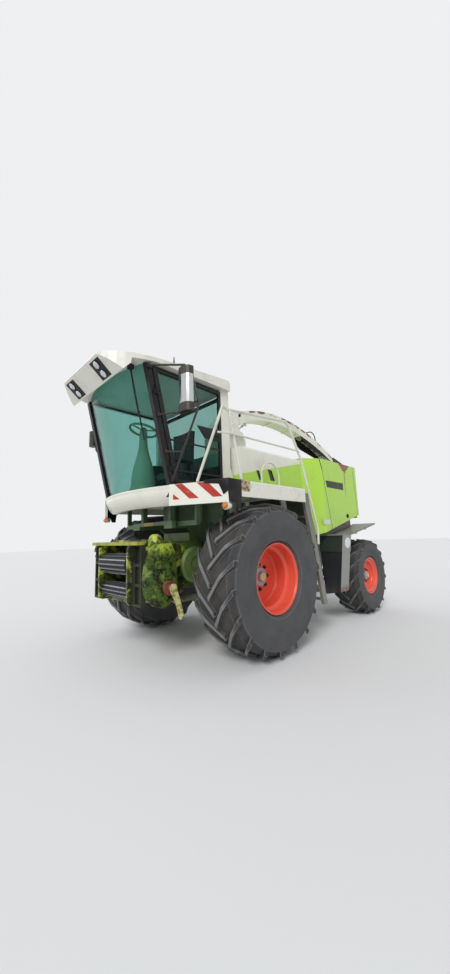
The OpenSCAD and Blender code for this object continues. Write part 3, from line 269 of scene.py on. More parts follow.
crest_curve = (-0.00944, -0.15187, -0.16684, 3.76784)
finish, tree, shader, place, parts = new_finish("spout_paint")
weather(tree, shader, place, parts, cream, rough=0.32, rust=0.12, dirt=0.35, dust=field_dust, low=1.2)
crest = reckon(tree, "MULTIPLY_ADD", parts["X"], crest_curve[0], crest_curve[1])
for term in crest_curve[2:]:
    crest = reckon(tree, "MULTIPLY_ADD", crest, parts["X"], term)
near_top = step_up(tree, reckon(tree, "SUBTRACT", parts["Z"], crest), -0.095, -0.03)
flaked = reckon(tree, "ADD", times(tree, near_top, 0.3), clouds(tree, place, 0.22, 8, 0.72))
flaked = times(tree, step_up(tree, flaked, 0.80, 0.86), step_up(tree, near_top, 0.1, 0.5))
bare = blend_colour(tree, clouds(tree, place, 0.04, 6), (0.10, 0.03, 0.018), (0.26, 0.10, 0.055))
lay_over(tree, shader, flaked, bare)
dress(finish, "spout_arch")


# Walkways with their fenders: cream sheet, its paint flaked to rust at the fender's front top
# corner. The hazard bars on the slanted wings are separate foil, further down.
def from_middle(tree, parts):
    """how far the place is to the left or right of the machine's middle"""
    return reckon(tree, "ABSOLUTE", parts["Y"])


finish, tree, shader, place, parts = new_finish("fender_paint")
weather(tree, shader, place, parts, cream, rough=0.32, rust=0.10, dirt=0.35, dust=field_dust, low=1.2)
corner = times(tree, step_up(tree, parts["X"], 1.78, 1.99), step_up(tree, parts["Z"], 1.84, 1.96))
corner = times(tree, corner, step_down(tree, parts["X"], 2.09, 2.10))
ragged = step_up(tree, reckon(tree, "ADD", corner, clouds(tree, place, 0.07, 8, 0.7)), 1.22, 1.40)
outer = step_up(tree, from_middle(tree, parts), 1.40, 1.41)
mottle = step_up(tree, clouds(tree, place, 0.045, 6), 0.42, 0.6)
flakes = blend_colour(tree, mottle, (0.16, 0.085, 0.045), (0.50, 0.38, 0.22))
lay_over(tree, shader, times(tree, ragged, outer), flakes)
dress(finish, "platforms")


# Side boxes in front of the rear wheels: near-black doors under a dark green lid, between light grey
# sheet ends that rust at their feet. The doors' near-black is partly their paint and partly painted
# shade, and the ends' light grey is partly their paint and partly painted sunlight. The doors' skin
# leans out with height, behind the ends' edges.
skin_lean, skin_foot = 0.1247, 1.2503
finish, tree, shader, place, parts = new_finish("side_box_paint_and_painted_light")
skin = reckon(tree, "MULTIPLY_ADD", parts["Z"], skin_lean, skin_foot)
# painted light: outward of the doors' skin the ends take light grey, partly painted sunlight; inward the
# doors take near-black, partly painted shade
outer = step_up(tree, reckon(tree, "SUBTRACT", from_middle(tree, parts), skin), 0.0, 0.0015)
lid = step_up(tree, parts["Z"], 1.124, 1.125)
front = blend_colour(tree, lid, (0.012, 0.014, 0.018), (0.020, 0.036, 0.026))
feet = times(tree, step_down(tree, parts["Z"], 0.53, 0.60),
             step_up(tree, clouds(tree, place, 0.06, 8, 0.7), 0.35, 0.55))
# the ends' light grey, partly painted sunlight, with rust at their feet
ends_paint_and_sunlight = blend_colour(tree, feet, (0.30, 0.30, 0.28), (0.22, 0.10, 0.06))
weather(tree, shader, place, parts, blend_colour(tree, outer, front, ends_paint_and_sunlight),
        rough=0.4, rust=0.1, dirt=0.12, dust=(0.20, 0.18, 0.14), low=0.7, chalk=0.02)
shader.inputs["Specular IOR Level"].default_value = 0.25
dress(finish, "side_boxes")


# Front hood: cream sheet with a lime wedge along its lower edge that rises to the rear, where it
# meets the lime side panels. The two slots sunk in each flank are filled with near-black painted shade.
def between(tree, value, rise, fall):
    """0 to 1 over the rise's two values, and back to 0 over the fall's"""
    return times(tree, step_up(tree, value, *rise), step_down(tree, value, *fall))


wedge_slope, wedge_height = 0.2215, (2.595, 2.599)
finish, tree, shader, place, parts = new_finish("hood_paint")
wedge = step_up(tree, reckon(tree, "ADD", parts["Z"], times(tree, parts["X"], wedge_slope)), *wedge_height)
weather(tree, shader, place, parts, blend_colour(tree, wedge, lime, cream),
        rough=0.3, rust=0.08, dirt=0.3, dust=field_dust, low=1.2)
# painted shade: the slots sunk in each flank, below the hood's top, are coloured near-black
slot_painted_shade = between(tree, from_middle(tree, parts), (0.983, 0.985), (0.9955, 0.9975))
slot_painted_shade = times(tree, slot_painted_shade, step_down(tree, parts["Z"], 2.388, 2.394))
for low_end, high_end in ((1.133, 1.259), (0.825, 1.001)):
    within = between(tree, parts["X"], (low_end, low_end + 0.003), (high_end - 0.003, high_end))
    lay_over(tree, shader, times(tree, within, slot_painted_shade), (0.012, 0.012, 0.012))
dress(finish, "upper_hood")


# Side panels and rear cover: lime sheet. Two leaning gaps divide each side into three doors, and a
# wedge of rust at the top has run down the middle door.
panel_foot, panel_height = 1.53, 1.1
finish, tree, shader, place, parts = new_finish("panel_paint")
weather(tree, shader, place, parts, lime, rough=0.26, rust=0.07, dirt=0.2, dust=(0.28, 0.27, 0.10), low=1.6)
side_on = step_up(tree, from_middle(tree, parts), 1.15, 1.17)
lines = 0.0
for top_x, foot_x in ((-0.205, -0.43), (-1.405, -1.50)):
    lean = times(tree, reckon(tree, "SUBTRACT", parts["Z"], panel_foot), (top_x - foot_x) / panel_height)
    away = reckon(tree, "SUBTRACT", reckon(tree, "SUBTRACT", parts["X"], foot_x), lean)
    gap = step_down(tree, reckon(tree, "ABSOLUTE", away), 0.005, 0.008)
    lines = reckon(tree, "MAXIMUM", lines, gap)
from_stain = reckon(tree, "ABSOLUTE", reckon(tree, "ADD", parts["X"], 1.05))
fan = times(tree, reckon(tree, "SUBTRACT", parts["Z"], 2.50), 1.3)
fan = reckon(tree, "SUBTRACT", fan, from_stain)
fan = reckon(tree, "MULTIPLY_ADD", clouds(tree, place, 0.05, 9, 0.75), 0.3, fan)
from_run = reckon(tree, "ABSOLUTE", reckon(tree, "ADD", parts["X"], 1.04))
broken = times(tree, step_up(tree, parts["Z"], 1.95, 2.45),
               step_up(tree, clouds(tree, place, 0.05, 8), 0.30, 0.5))
run_off = times(tree, step_down(tree, from_run, 0.008, 0.026), broken)
stain = reckon(tree, "MAXIMUM", step_up(tree, fan, 0.14, 0.17), run_off)
lay_over(tree, shader, times(tree, stain, side_on), (0.24, 0.07, 0.02))
lay_over(tree, shader, times(tree, lines, side_on), (0.01, 0.012, 0.005))
dress(finish, "side_panels", "rear_cover")


# Feed housing: yellow-green castings and plates, thick with oily crop dust and moss. The top bar
# across its front is cleaner and brighter.
def greasy_paint(name, colour, moss, low, high, rust):
    """paint that shows only where the noise passes low to high; elsewhere moss and oily dirt"""
    finish, tree, shader, place, parts = new_finish(name)
    weather(tree, shader, place, parts, colour, rough=0.4, rust=rust, dirt=0.5,
            dust=(0.07, 0.065, 0.025), low=0.9)
    base = shader.inputs["Base Color"].links[0].from_socket
    clear = step_up(tree, clouds(tree, place, 0.16, 9, 0.75), low, high)
    oil = step_up(tree, clouds(tree, place, 0.07, 9, 0.75), 0.45, 0.58)
    oily = blend_colour(tree, oil, moss, (0.012, 0.012, 0.008))
    stitch(tree, blend_colour(tree, clear, oily, base), shader.inputs["Base Color"])
    return finish, tree, shader, place, parts


finish, tree, shader, place, parts = greasy_paint(
    "feed_housing_paint", (0.46, 0.50, 0.02), moss=(0.06, 0.085, 0.012), low=0.50, high=0.60, rust=0.2)
bar = times(tree, step_up(tree, parts["Z"], 1.363, 1.366), step_up(tree, parts["X"], 2.78, 2.79))
lay_over(tree, shader, bar,
         blend_colour(tree, clouds(tree, place, 0.08, 8), (0.10, 0.11, 0.012), (0.48, 0.50, 0.03)))
dress(finish, "feed_housing")


# Feed unit's side drive: its cover is dull moss green, the coupler is rusty round its ring, and the
# lever on it is yellow, worn white. Each stands further out than the one before.
finish, tree, shader, place, parts = greasy_paint(
    "feed_drive_paint", (0.20, 0.33, 0.02), moss=(0.085, 0.15, 0.018), low=0.50, high=0.66, rust=0.18)
upper = times(tree, step_up(tree, parts["Z"], 1.20, 1.36),
              step_up(tree, clouds(tree, place, 0.06, 8), 0.42, 0.55))
lay_over(tree, shader, times(tree, upper, 0.85), (0.50, 0.60, 0.06))
ring = times(tree, step_up(tree, parts["Y"], 0.622, 0.626), step_down(tree, parts["Z"], 0.98, 0.985))
lay_over(tree, shader, ring,
         blend_colour(tree, clouds(tree, place, 0.03, 6), (0.06, 0.012, 0.010), (0.36, 0.13, 0.08)))
lever = step_up(tree, parts["Y"], 0.702, 0.706)
chipped = step_up(tree, clouds(tree, place, 0.05, 8), 0.40, 0.6)
lay_over(tree, shader, lever, blend_colour(tree, chipped, (0.30, 0.26, 0.05), (0.72, 0.68, 0.34)))
dress(finish, "feed_drives")


# Feed rolls: bare steel drums on shafts that run across the machine, dark between the bars, and
# bright on the bars, which the crop polishes.
def from_shaft(tree, parts, x, z):
    """how far the place is from the shaft that crosses the machine at x and z"""
    flat = tree.nodes.new("ShaderNodeCombineXYZ")
    stitch(tree, reckon(tree, "SUBTRACT", parts["X"], x), flat.inputs[0])
    stitch(tree, reckon(tree, "SUBTRACT", parts["Z"], z), flat.inputs[2])
    away = tree.nodes.new("ShaderNodeVectorMath")
    away.operation = "LENGTH"
    tree.links.new(flat.outputs[0], away.inputs[0])
    return away.outputs["Value"]


for name, x, z, core in (("upper_feed_roll", 2.767, 1.14, 0.113), ("lower_feed_roll", 2.749, 0.825, 0.083)):
    finish, tree, shader, place, parts = new_finish(name + "_steel")
    bar = step_up(tree, from_shaft(tree, parts, x, z), core + 0.001, core + 0.006)
    grain = clouds(tree, place, 0.02, 8, 0.75)
    dull = blend_colour(tree, grain, (0.025, 0.024, 0.026), (0.07, 0.068, 0.07))
    bright = blend_colour(tree, step_up(tree, grain, 0.4, 0.65), (0.30, 0.32, 0.35), (0.13, 0.13, 0.14))
    coat(tree, shader, blend_colour(tree, bar, dull, bright),
         reckon(tree, "SUBTRACT", 0.7, times(tree, bar, 0.36)))
    shader.inputs["Metallic"].default_value = 0.85
    raise_skin(tree, shader, grain, 0.001, 0.4)
    dress(finish, name)


# Bright rods of the steering, lift and spout rams: ground steel with a film of oil. They slide in
# painted barrels.
finish, tree, shader, place, parts = new_finish("rod_steel")
grain = clouds(tree, place, 0.015, 8)
coat(tree, shader, blend_colour(tree, grain, (0.42, 0.42, 0.43), (0.62, 0.62, 0.63)),
     reckon(tree, "MULTIPLY_ADD", grain, 0.3, 0.12))
shader.inputs["Metallic"].default_value = 1
dress(finish, "steer_rod", "lift_rods", "spout_rod")


# Tyres: ribbed field tyres in dusty black rubber. Fine moulding rings run round the walls, and
# earth sits between the lugs, whose tops are rubbed grey. The carcass between the lugs is darkened
# with painted shade.
front_axle, rear_axle = (1.457, 0.915), (-1.398, 0.651)
for name, (x, z), bead, tread in (
        ("front_tyre_left", front_axle, 0.41, 0.86), ("front_tyre_right", front_axle, 0.41, 0.86),
        ("rear_tyre_left", rear_axle, 0.31, 0.609), ("rear_tyre_right", rear_axle, 0.31, 0.609)):
    finish, tree, shader, place, parts = new_finish(name + "_rubber")
    reach = from_shaft(tree, parts, x, z)
    patches = clouds(tree, place, 0.22, 9, 0.7)
    grain = clouds(tree, place, 0.02, 8, 0.7)
    rubber = blend_colour(tree, patches, (0.040, 0.040, 0.042), (0.105, 0.105, 0.108))
    # painted shade: the carcass between the lugs, below the lugs' tops, is darkened towards black
    lug_gap_painted_shade = between(tree, reach, (tread - 0.07, tread - 0.03), (tread + 0.01, tread + 0.03))
    rubber = blend_colour(tree, times(tree, lug_gap_painted_shade, 0.8), rubber, (0.022, 0.022, 0.023))
    earth = between(tree, reach, (tread - 0.05, tread - 0.01), (tread + 0.004, tread + 0.03))
    earth = times(tree, earth, step_up(tree, patches, 0.38, 0.62))
    dusty = blend_colour(tree, times(tree, earth, 0.25), rubber, (0.13, 0.11, 0.085))
    lug_top = times(tree, step_up(tree, reach, tread + 0.025, tread + 0.045), 0.75)
    topped = blend_colour(tree, lug_top, dusty, (0.20, 0.20, 0.195))
    worn = times(tree, rub_edges(tree, 0.02), 0.6)
    coat(tree, shader, blend_colour(tree, worn, topped, (0.30, 0.30, 0.29)), 0.78)
    rings = reckon(tree, "SINE", times(tree, reach, 420.0))
    rings = times(tree, rings, step_down(tree, reach, bead + 0.06, bead + 0.09))
    rings = times(tree, rings, step_down(tree, reach, tread - 0.16, tread - 0.12))
    raise_skin(tree, shader, reckon(tree, "ADD", times(tree, rings, 0.35), grain), 0.003, 0.6)
    dress(finish, name)


# Rims: pressed discs welded into the barrels, gloss orange-red. The hub is bare grey casting with a
# yellow cap, and dust lies in the dish.
rim_red = (0.78, 0.045, 0.008)
for name, (x, z), hub, cap in (
        ("front_rim_left", front_axle, 0.113, 0.040), ("front_rim_right", front_axle, 0.113, 0.040),
        ("rear_rim_left", rear_axle, 0.071, 0.028), ("rear_rim_right", rear_axle, 0.071, 0.028)):
    finish, tree, shader, place, parts = new_finish(name + "_paint")
    reach = from_shaft(tree, parts, x, z)
    grey = blend_colour(tree, step_up(tree, reach, cap, cap + 0.002), (0.72, 0.50, 0.04), (0.36, 0.36, 0.38))
    colour = blend_colour(tree, step_up(tree, reach, hub, hub + 0.002), grey, rim_red)
    weather(tree, shader, place, parts, colour,
            rough=0.3, rust=0.08, dirt=0.15, dust=(0.30, 0.10, 0.06), low=0.5)
    dress(finish, name)


# Glass: green-tinted panes in the windscreen, the door and the cab's right and rear walls, bonded
# or framed, with a thin film of dust and a gloss that grows where they are seen at a slant.
def tinted_pane(name, tint, body):
    finish, tree, shader, place, parts = new_finish(name)
    coat(tree, shader, (*body, 1), 0.04)
    clear = tree.nodes.new("ShaderNodeBsdfTransparent")
    clear.inputs[0].default_value = (*tint, 1)
    slant = tree.nodes.new("ShaderNodeLayerWeight")
    slant.inputs["Blend"].default_value = 0.5
    gloss = reckon(tree, "MULTIPLY_ADD", reckon(tree, "POWER", slant.outputs["Facing"], 5.0), 0.9, 0.045)
    film = step_up(tree, clouds(tree, place, 0.25, 7, 0.7), 0.45, 0.85)
    share = reckon(tree, "MULTIPLY_ADD", film, 0.06, gloss, clamp=True)
    mixed = tree.nodes.new("ShaderNodeMixShader")
    stitch(tree, share, mixed.inputs[0])
    tree.links.new(clear.outputs[0], mixed.inputs[1])
    tree.links.new(shader.outputs[0], mixed.inputs[2])
    tree.links.new(mixed.outputs[0], tree.nodes["Material Output"].inputs["Surface"])
    return finish


dress(tinted_pane("windscreen_glass", (0.66, 0.86, 0.83), (0.03, 0.07, 0.06)), "windscreen")
dress(tinted_pane("window_glass", (0.72, 0.84, 0.82), (0.05, 0.07, 0.07)), "cab_glass", "door_glass")


# Moulded plastic and rubber: lamp clusters, cab fittings, corner panels, the steering column and
# the spout's rubber lining, all with a fine moulded grain.
def moulded(name, colour, rough, dusty):
    finish, tree, shader, place, parts = new_finish(name)
    patches = clouds(tree, place, 0.2, 8, 0.7)
    film = times(tree, step_up(tree, patches, 0.45, 0.75), dusty)
    coat(tree, shader, blend_colour(tree, film, colour, (0.22, 0.20, 0.17)),
         reckon(tree, "MULTIPLY_ADD", patches, 0.25, rough))
    shader.inputs["Specular IOR Level"].default_value = 0.5 if max(colour) > 0.1 else 0.2
    raise_skin(tree, shader, clouds(tree, place, 0.004, 3), 0.0006, 0.5)
    return finish


dress(moulded("black_plastic", (0.016, 0.016, 0.017), 0.3, 0.15),
      "roof_lamps", "cab_fittings", "corner_panels")
dress(moulded("column_plastic", (0.34, 0.38, 0.28), 0.45, 0.2), "steering_column")
dress(moulded("spout_rubber", (0.012, 0.012, 0.012), 0.6, 0.12), "spout_liner")


# Mirrors: black moulded heads on steel arms. The left head's front carries a chromed plate, set in
# from the shell's top, foot and sides.
finish, tree, shader, place, parts = new_finish("mirror_shell")
plate = between(tree, parts["Z"], (2.865, 2.875), (3.185, 3.195))
from_head = reckon(tree, "ABSOLUTE", reckon(tree, "SUBTRACT", parts["Y"], 1.2))
plate = times(tree, plate, step_down(tree, from_head, 0.112, 0.114))
chrome = times(tree, plate, step_up(tree, parts["X"], 2.612, 2.616))
dull_black = blend_colour(tree, clouds(tree, place, 0.05, 7), (0.014, 0.013, 0.012), (0.055, 0.042, 0.03))
coat(tree, shader, blend_colour(tree, chrome, dull_black, (0.55, 0.57, 0.58)),
     reckon(tree, "MULTIPLY_ADD", chrome, -0.3, 0.45))
stitch(tree, chrome, shader.inputs["Metallic"])
dress(finish, "mirrors")


# Turn lamps and rear lamps: ribbed plastic lenses set in their housings, amber at the front and
# red at the back of the machine.
finish, tree, shader, place, parts = new_finish("amber_lens")
amber = blend_colour(tree, clouds(tree, place, 0.03), (0.80, 0.22, 0.02), (0.90, 0.34, 0.05))
forward = step_up(tree, parts["X"], -1.1, -1.0)
coat(tree, shader, blend_colour(tree, forward, (0.50, 0.01, 0.008), amber), 0.15)
shader.inputs["Transmission Weight"].default_value = 0.3
raise_skin(tree, shader, reckon(tree, "SINE", times(tree, parts["Z"], 900.0)), 0.001, 0.5)
dress(finish, "lamps")


# Wheel nuts: eight dark hexagon nuts on each disc, standing on washers that were painted with the
# disc and hide its stud holes.
def take_up(piece):
    """selects the piece and nothing else"""
    bpy.ops.object.select_all(action="DESELECT")
    piece.select_set(True)
    bpy.context.view_layer.objects.active = piece


def settle(piece, name, body, finish, smooth=35):
    """the finished piece keeps its place in its mesh, and rides on its body"""
    take_up(piece)
    bpy.ops.object.transform_apply(location=True, rotation=True, scale=True)
    bpy.ops.object.shade_smooth_by_angle(angle=math.radians(smooth))
    piece.name = name
    piece.data.materials.clear()
    piece.data.materials.append(finish)
    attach(piece, body)
    return piece


def pick(test):
    """in edit mode, selects the faces whose centre and normal pass the test"""
    bpy.ops.mesh.select_mode(type="FACE")
    mesh = bmesh.from_edit_mesh(bpy.context.object.data)
    for face in mesh.faces:
        face.select_set(test(face.calc_center_median(), face.normal))
    mesh.select_flush_mode()
    bmesh.update_edit_mesh(bpy.context.object.data)


def push_out(x, y, z):
    """in edit mode, extrudes what is selected"""
    bpy.ops.mesh.extrude_region_move(TRANSFORM_OT_translate={"value": (x, y, z)})


def harden(piece, width, segments=2, angle=30):
    """rounds the piece's sharp edges"""
    take_up(piece)
    bevel = piece.modifiers.new("rounding", "BEVEL")
    bevel.width = width
    bevel.segments = segments
    bevel.limit_method = "ANGLE"
    bevel.angle_limit = math.radians(angle)
    bpy.ops.object.modifier_apply(modifier="rounding")


def join_up(parts):
    """the parts as one piece"""
    bpy.ops.object.select_all(action="DESELECT")
    for part in parts:
        part.select_set(True)
    bpy.context.view_layer.objects.active = parts[0]
    bpy.ops.object.join()
    return parts[0]


def copies(part, places):
    """the part's copies at the places, each with its own mesh, joined into one piece"""
    twins = []
    for place in places:
        twin = part.copy()
        twin.data = part.data.copy()
        twin.matrix_world = place
        bpy.context.collection.objects.link(twin)
        twins.append(twin)
    bpy.data.objects.remove(part)
    bpy.context.view_layer.update()
    return join_up(twins)


def hexagon_nut(radius, height):
    """a nut that stands up along +Z from its own origin, with the stud's end in it"""
    bpy.ops.mesh.primitive_cylinder_add(vertices=6, radius=radius, depth=height, location=(0, 0, height / 2))
    bpy.ops.object.transform_apply(location=True)
    nut = bpy.context.object
    bpy.ops.object.mode_set(mode="EDIT")
    pick(lambda centre, normal: normal.z > 0.9)
    bpy.ops.mesh.inset(thickness=radius * 0.36)
    push_out(0, 0, height * 0.45)
    bpy.ops.mesh.inset(thickness=radius * 0.14)
    push_out(0, 0, height * 0.06)
    bpy.ops.object.mode_set(mode="OBJECT")
    harden(nut, radius * 0.09, 1)
    return nut


washer_height = 0.004
for end, (x, z), disc_y, ring, washer, size in (("front", front_axle, 1.131, 0.152, 0.031, 0.0185),
                                                ("rear", rear_axle, 1.271, 0.108, 0.024, 0.0135)):
    for side, word in ((1, "left"), (-1, "right")):
        finish, tree, shader, place, parts = new_finish(f"{end}_{word}_nut_paint")
        stands = step_up(tree, from_middle(tree, parts), disc_y + washer_height, disc_y + 0.005)
        grain = clouds(tree, place, 0.012, 8, 0.75)
        dark = blend_colour(tree, grain, (0.015, 0.012, 0.010), (0.10, 0.075, 0.06))
        coat(tree, shader, blend_colour(tree, stands, rim_red, dark),
             reckon(tree, "MULTIPLY_ADD", stands, 0.2, 0.35))
        raise_skin(tree, shader, grain, 0.0006)
        nut = hexagon_nut(size, size * 1.1)
        nut.location.z = washer_height
        bpy.ops.object.transform_apply(location=True)
        bpy.ops.mesh.primitive_cylinder_add(vertices=40, radius=washer, depth=washer_height,
                                            location=(0, 0, washer_height / 2))
        plate = bpy.context.object
        bpy.ops.object.transform_apply(location=True)
        bpy.ops.object.mode_set(mode="EDIT")
        pick(lambda centre, normal: normal.z > 0.9)
        bpy.ops.mesh.inset(thickness=washer * 0.16)
        bpy.ops.transform.translate(value=(0, 0, 0.001))
        bpy.ops.object.mode_set(mode="OBJECT")
        hub = Matrix.Translation((x, side * disc_y, z))
        outward = Matrix.Translation((ring, 0, 0)) @ Matrix.Rotation(-side * math.pi / 2, 4, "X")
        nuts = copies(join_up([nut, plate]),
                      [hub @ Matrix.Rotation(math.pi * i / 4, 4, "Y") @ outward for i in range(8)])
        settle(nuts, f"{end}_{word}_wheel_nuts", f"{end}_wheel_{word[0]}", finish)


# Gearcase bolts: nine oily steel hexagon heads, sunk along the curved flange of the feed drive's
# cover. The flange's edge is one cubic curve with four knots, measured from the front axle.
zinc, tree, shader, place, parts = new_finish("zinc_nuts")
grain = clouds(tree, place, 0.012, 8, 0.75)
tarnish = step_up(tree, grain, 0.42, 0.66)
coat(tree, shader, blend_colour(tree, tarnish, (0.40, 0.39, 0.37), (0.17, 0.12, 0.08)),
     reckon(tree, "MULTIPLY_ADD", grain, 0.5, 0.2))
shader.inputs["Metallic"].default_value = 0.8
raise_skin(tree, shader, grain, 0.0006)
flange_knots = ((1.200, 1.335), (1.300, 1.300), (1.345, 1.050), (1.312, 0.850))
flange_y = 0.5895
seats = []
for i in range(9):
    t = i / 8
    shares = ((1 - t) ** 3, 3 * (1 - t) ** 2 * t, 3 * (1 - t) * t * t, t ** 3)
    x = sum(share * knot[0] for share, knot in zip(shares, flange_knots)) + front_axle[0]
    z = sum(share * knot[1] for share, knot in zip(shares, flange_knots))
    facing = Matrix.Rotation(-math.pi / 2, 4, "X") @ Matrix.Rotation(i * 0.7, 4, "Z")
    seats.append(Matrix.Translation((x, flange_y, z)) @ facing)
settle(copies(hexagon_nut(0.0078, 0.011), seats), "gearcase_bolts", "feed_unit", zinc)


# Mirror glasses: silvered panes clipped in the backs of the two heads, each with a thin lip round
# it and smeared in places.
silver, tree, shader, place, parts = new_finish("mirror_silver")
smear = step_up(tree, clouds(tree, place, 0.08, 6, 0.7), 0.5, 0.8)
coat(tree, shader, (0.72, 0.75, 0.76, 1), reckon(tree, "MULTIPLY_ADD", smear, 0.25, 0.03))
shader.inputs["Metallic"].default_value = 1
for name, middle, wide, high in (("left_mirror_glass", (2.6055, 1.2, 3.03), 0.170, 0.484),
                                 ("right_mirror_glass", (2.6875, -0.965, 2.96), 0.098, 0.206)):
    bpy.ops.mesh.primitive_cube_add(size=1, location=middle, scale=(0.003, wide, high))
    bpy.ops.object.transform_apply(location=True, scale=True)
    glass = bpy.context.object
    bpy.ops.object.mode_set(mode="EDIT")
    pick(lambda centre, normal: normal.x < -0.9)
    bpy.ops.mesh.inset(thickness=0.006)
    bpy.ops.transform.translate(value=(0.001, 0, 0))
    bpy.ops.object.mode_set(mode="OBJECT")
    settle(glass, name, "chassis", silver)


# Roof lamps: four round work lamps behind ribbed clear lenses, set two in each corner of the
# roof's leaning brow.
lens_glass, tree, shader, place, parts = new_finish("lamp_lens")
silvering = blend_colour(tree, clouds(tree, place, 0.05, 6), (0.50, 0.52, 0.53), (0.80, 0.81, 0.80))
coat(tree, shader, silvering, 0.12)
shader.inputs["Metallic"].default_value = 0.55
shader.inputs["Coat Weight"].default_value = 1
raise_skin(tree, shader, reckon(tree, "SINE", times(tree, parts["Y"], 700.0)), 0.002, 0.6)
brow = Matrix.Translation((3.125, 0, 3.31)) @ Matrix.Rotation(-math.atan(190 / 217), 4, "Y")
bpy.ops.mesh.primitive_uv_sphere_add(segments=40, ring_count=20, radius=0.044)
lens = bpy.context.object
bpy.ops.object.mode_set(mode="EDIT")
bpy.ops.mesh.select_all(action="SELECT")
bpy.ops.mesh.bisect(plane_co=(0, 0, 0), plane_no=(0, 0, 1), clear_outer=True, use_fill=True)
bpy.ops.mesh.select_all(action="SELECT")
bpy.ops.transform.resize(value=(1, 1, 0.16))
bpy.ops.object.mode_set(mode="OBJECT")
lenses = copies(lens, [brow @ Matrix.Translation((along, y, 0.0035))
                       for along in (0.082, 0.198) for y in (-0.362, 0.362)])
settle(lenses, "roof_lamp_lenses", "chassis", lens_glass)


# Hazard bars: red reflecting foil, cut in slanted bars and stuck on each white wing between cab
# and fender. The wing runs outward and back from its inner end.
def thick_sheet(outline, push):
    """a sheet with the outline's corners, as thick as the push"""
    bpy.ops.mesh.primitive_circle_add(vertices=len(outline), radius=0.1, fill_type="NGON")
    sheet = bpy.context.object
    for corner, at in zip(sheet.data.vertices, outline):
        corner.co = at
    bpy.ops.object.mode_set(mode="EDIT")
    bpy.ops.mesh.select_all(action="SELECT")
    push_out(*push)
    bpy.ops.mesh.select_all(action="SELECT")
    bpy.ops.mesh.normals_make_consistent(inside=False)
    bpy.ops.object.mode_set(mode="OBJECT")
    return sheet


wing_x, wing_y, wing_back, wing_out = 2.592, 0.8, 0.43611, 0.8999


def on_wing(side, along, high, gap_x, gap_y):
    """the place along metres from the wing's inner end, off its face by the gaps"""
    return (wing_x - wing_back * along + gap_x, side * (wing_y + wing_out * along + gap_y), high)


def foil_cells(tree, place, scale):
    """the small cells that a reflecting surface shows close up"""
    cells = tree.nodes.new("ShaderNodeTexVoronoi")
    cells.inputs["Scale"].default_value = scale
    tree.links.new(place, cells.inputs["Vector"])
    return cells.outputs["Distance"]


red_foil, tree, shader, place, parts = new_finish("red_foil")
cells = foil_cells(tree, place, 260)
worn = step_up(tree, clouds(tree, place, 0.06, 9, 0.75), 0.52, 0.7)
red = blend_colour(tree, step_up(tree, cells, 0.1, 0.6), (0.33, 0.018, 0.010), (0.43, 0.03, 0.015))
coat(tree, shader, blend_colour(tree, times(tree, worn, 0.3), red, (0.50, 0.32, 0.26)),
     reckon(tree, "MULTIPLY_ADD", worn, 0.4, 0.25))
raise_skin(tree, shader, cells, 0.0004, 0.3)
bar_gap, bar_thick = 0.0004, 0.0008
for side, word in ((1, "left"), (-1, "right")):
    bars = []
    for outline in (((0.052, 1.925), (0.052, 1.860), (0.139, 1.860)),
                    ((0.072, 2.034), (0.170, 2.034), (0.372, 1.860), (0.256, 1.860)),
                    ((0.346, 2.034), (0.475, 2.034), (0.648, 1.860), (0.537, 1.860))):
        bars.append(thick_sheet([on_wing(side, along, high, wing_out * bar_gap, wing_back * bar_gap)
                                 for along, high in outline],
                                (wing_out * bar_thick, side * wing_back * bar_thick, 0)))
    settle(join_up(bars), word + "_hazard_bars", "chassis", red_foil)


# Corner covers: black moulded caps that wrap the outer end of each wing, and the cream housings
# of the turn lamps below them, both seated on the walkway's edge. A blank yellow plate lies on the
# cross beam under the cab.
cover_black = moulded("cover_black", (0.010, 0.010, 0.011), 0.3, 0.1)
front_outline = ((0.437, 2.056), (0.437, 2.018), (0.608, 2.001), (0.662, 1.878),
                 (0.714, 1.916), (0.722, 1.797), (0.722, 2.056))
flank_outline = ((2.283, 2.056), (2.080, 2.052), (2.080, 1.862), (2.100, 1.725),
                 (2.165, 1.725), (2.200, 1.797), (2.283, 1.797))
for side, word in ((1, "left"), (-1, "right")):
    front = thick_sheet([on_wing(side, along, high, 0.0014, 0.0007) for along, high in front_outline],
                        (0.0063, side * 0.0031, 0))
    flank = thick_sheet([(x, side * 1.4505, z) for x, z in flank_outline], (0, side * 0.006, 0))
    for sheet in (front, flank):
        harden(sheet, 0.0018, 2)
    settle(join_up([front, flank]), word + "_corner_cover", "chassis", cover_black)
    bpy.ops.mesh.primitive_cylinder_add(vertices=40, radius=0.046, depth=0.07,
                                        location=(2.262, side * 1.41, 1.759), rotation=(0, math.pi / 2, 0))
    bowl = bpy.context.object
    bpy.ops.object.transform_apply(location=True, rotation=True)
    bpy.ops.object.mode_set(mode="EDIT")
    pick(lambda centre, normal: normal.x > 0.9)
    bpy.ops.mesh.inset(thickness=0.008)
    push_out(-0.006, 0, 0)
    pick(lambda centre, normal: normal.x < -0.9)
    bpy.ops.transform.resize(value=(1, 0.72, 0.72))
    bpy.ops.object.mode_set(mode="OBJECT")
    harden(bowl, 0.003, 2)
    settle(bowl, word + "_lamp_housing", "chassis", cream_paint)
beam_x = 2.3172
beam_plate = thick_sheet([(beam_x, -0.184, 1.604), (beam_x, 0.043, 1.604),
                          (beam_x, 0.043, 1.646), (beam_x, -0.184, 1.646)], (0.0015, 0, 0))
settle(beam_plate, "beam_plate", "chassis", moulded("yellow_plate", (0.42, 0.33, 0.03), 0.4, 0.3))


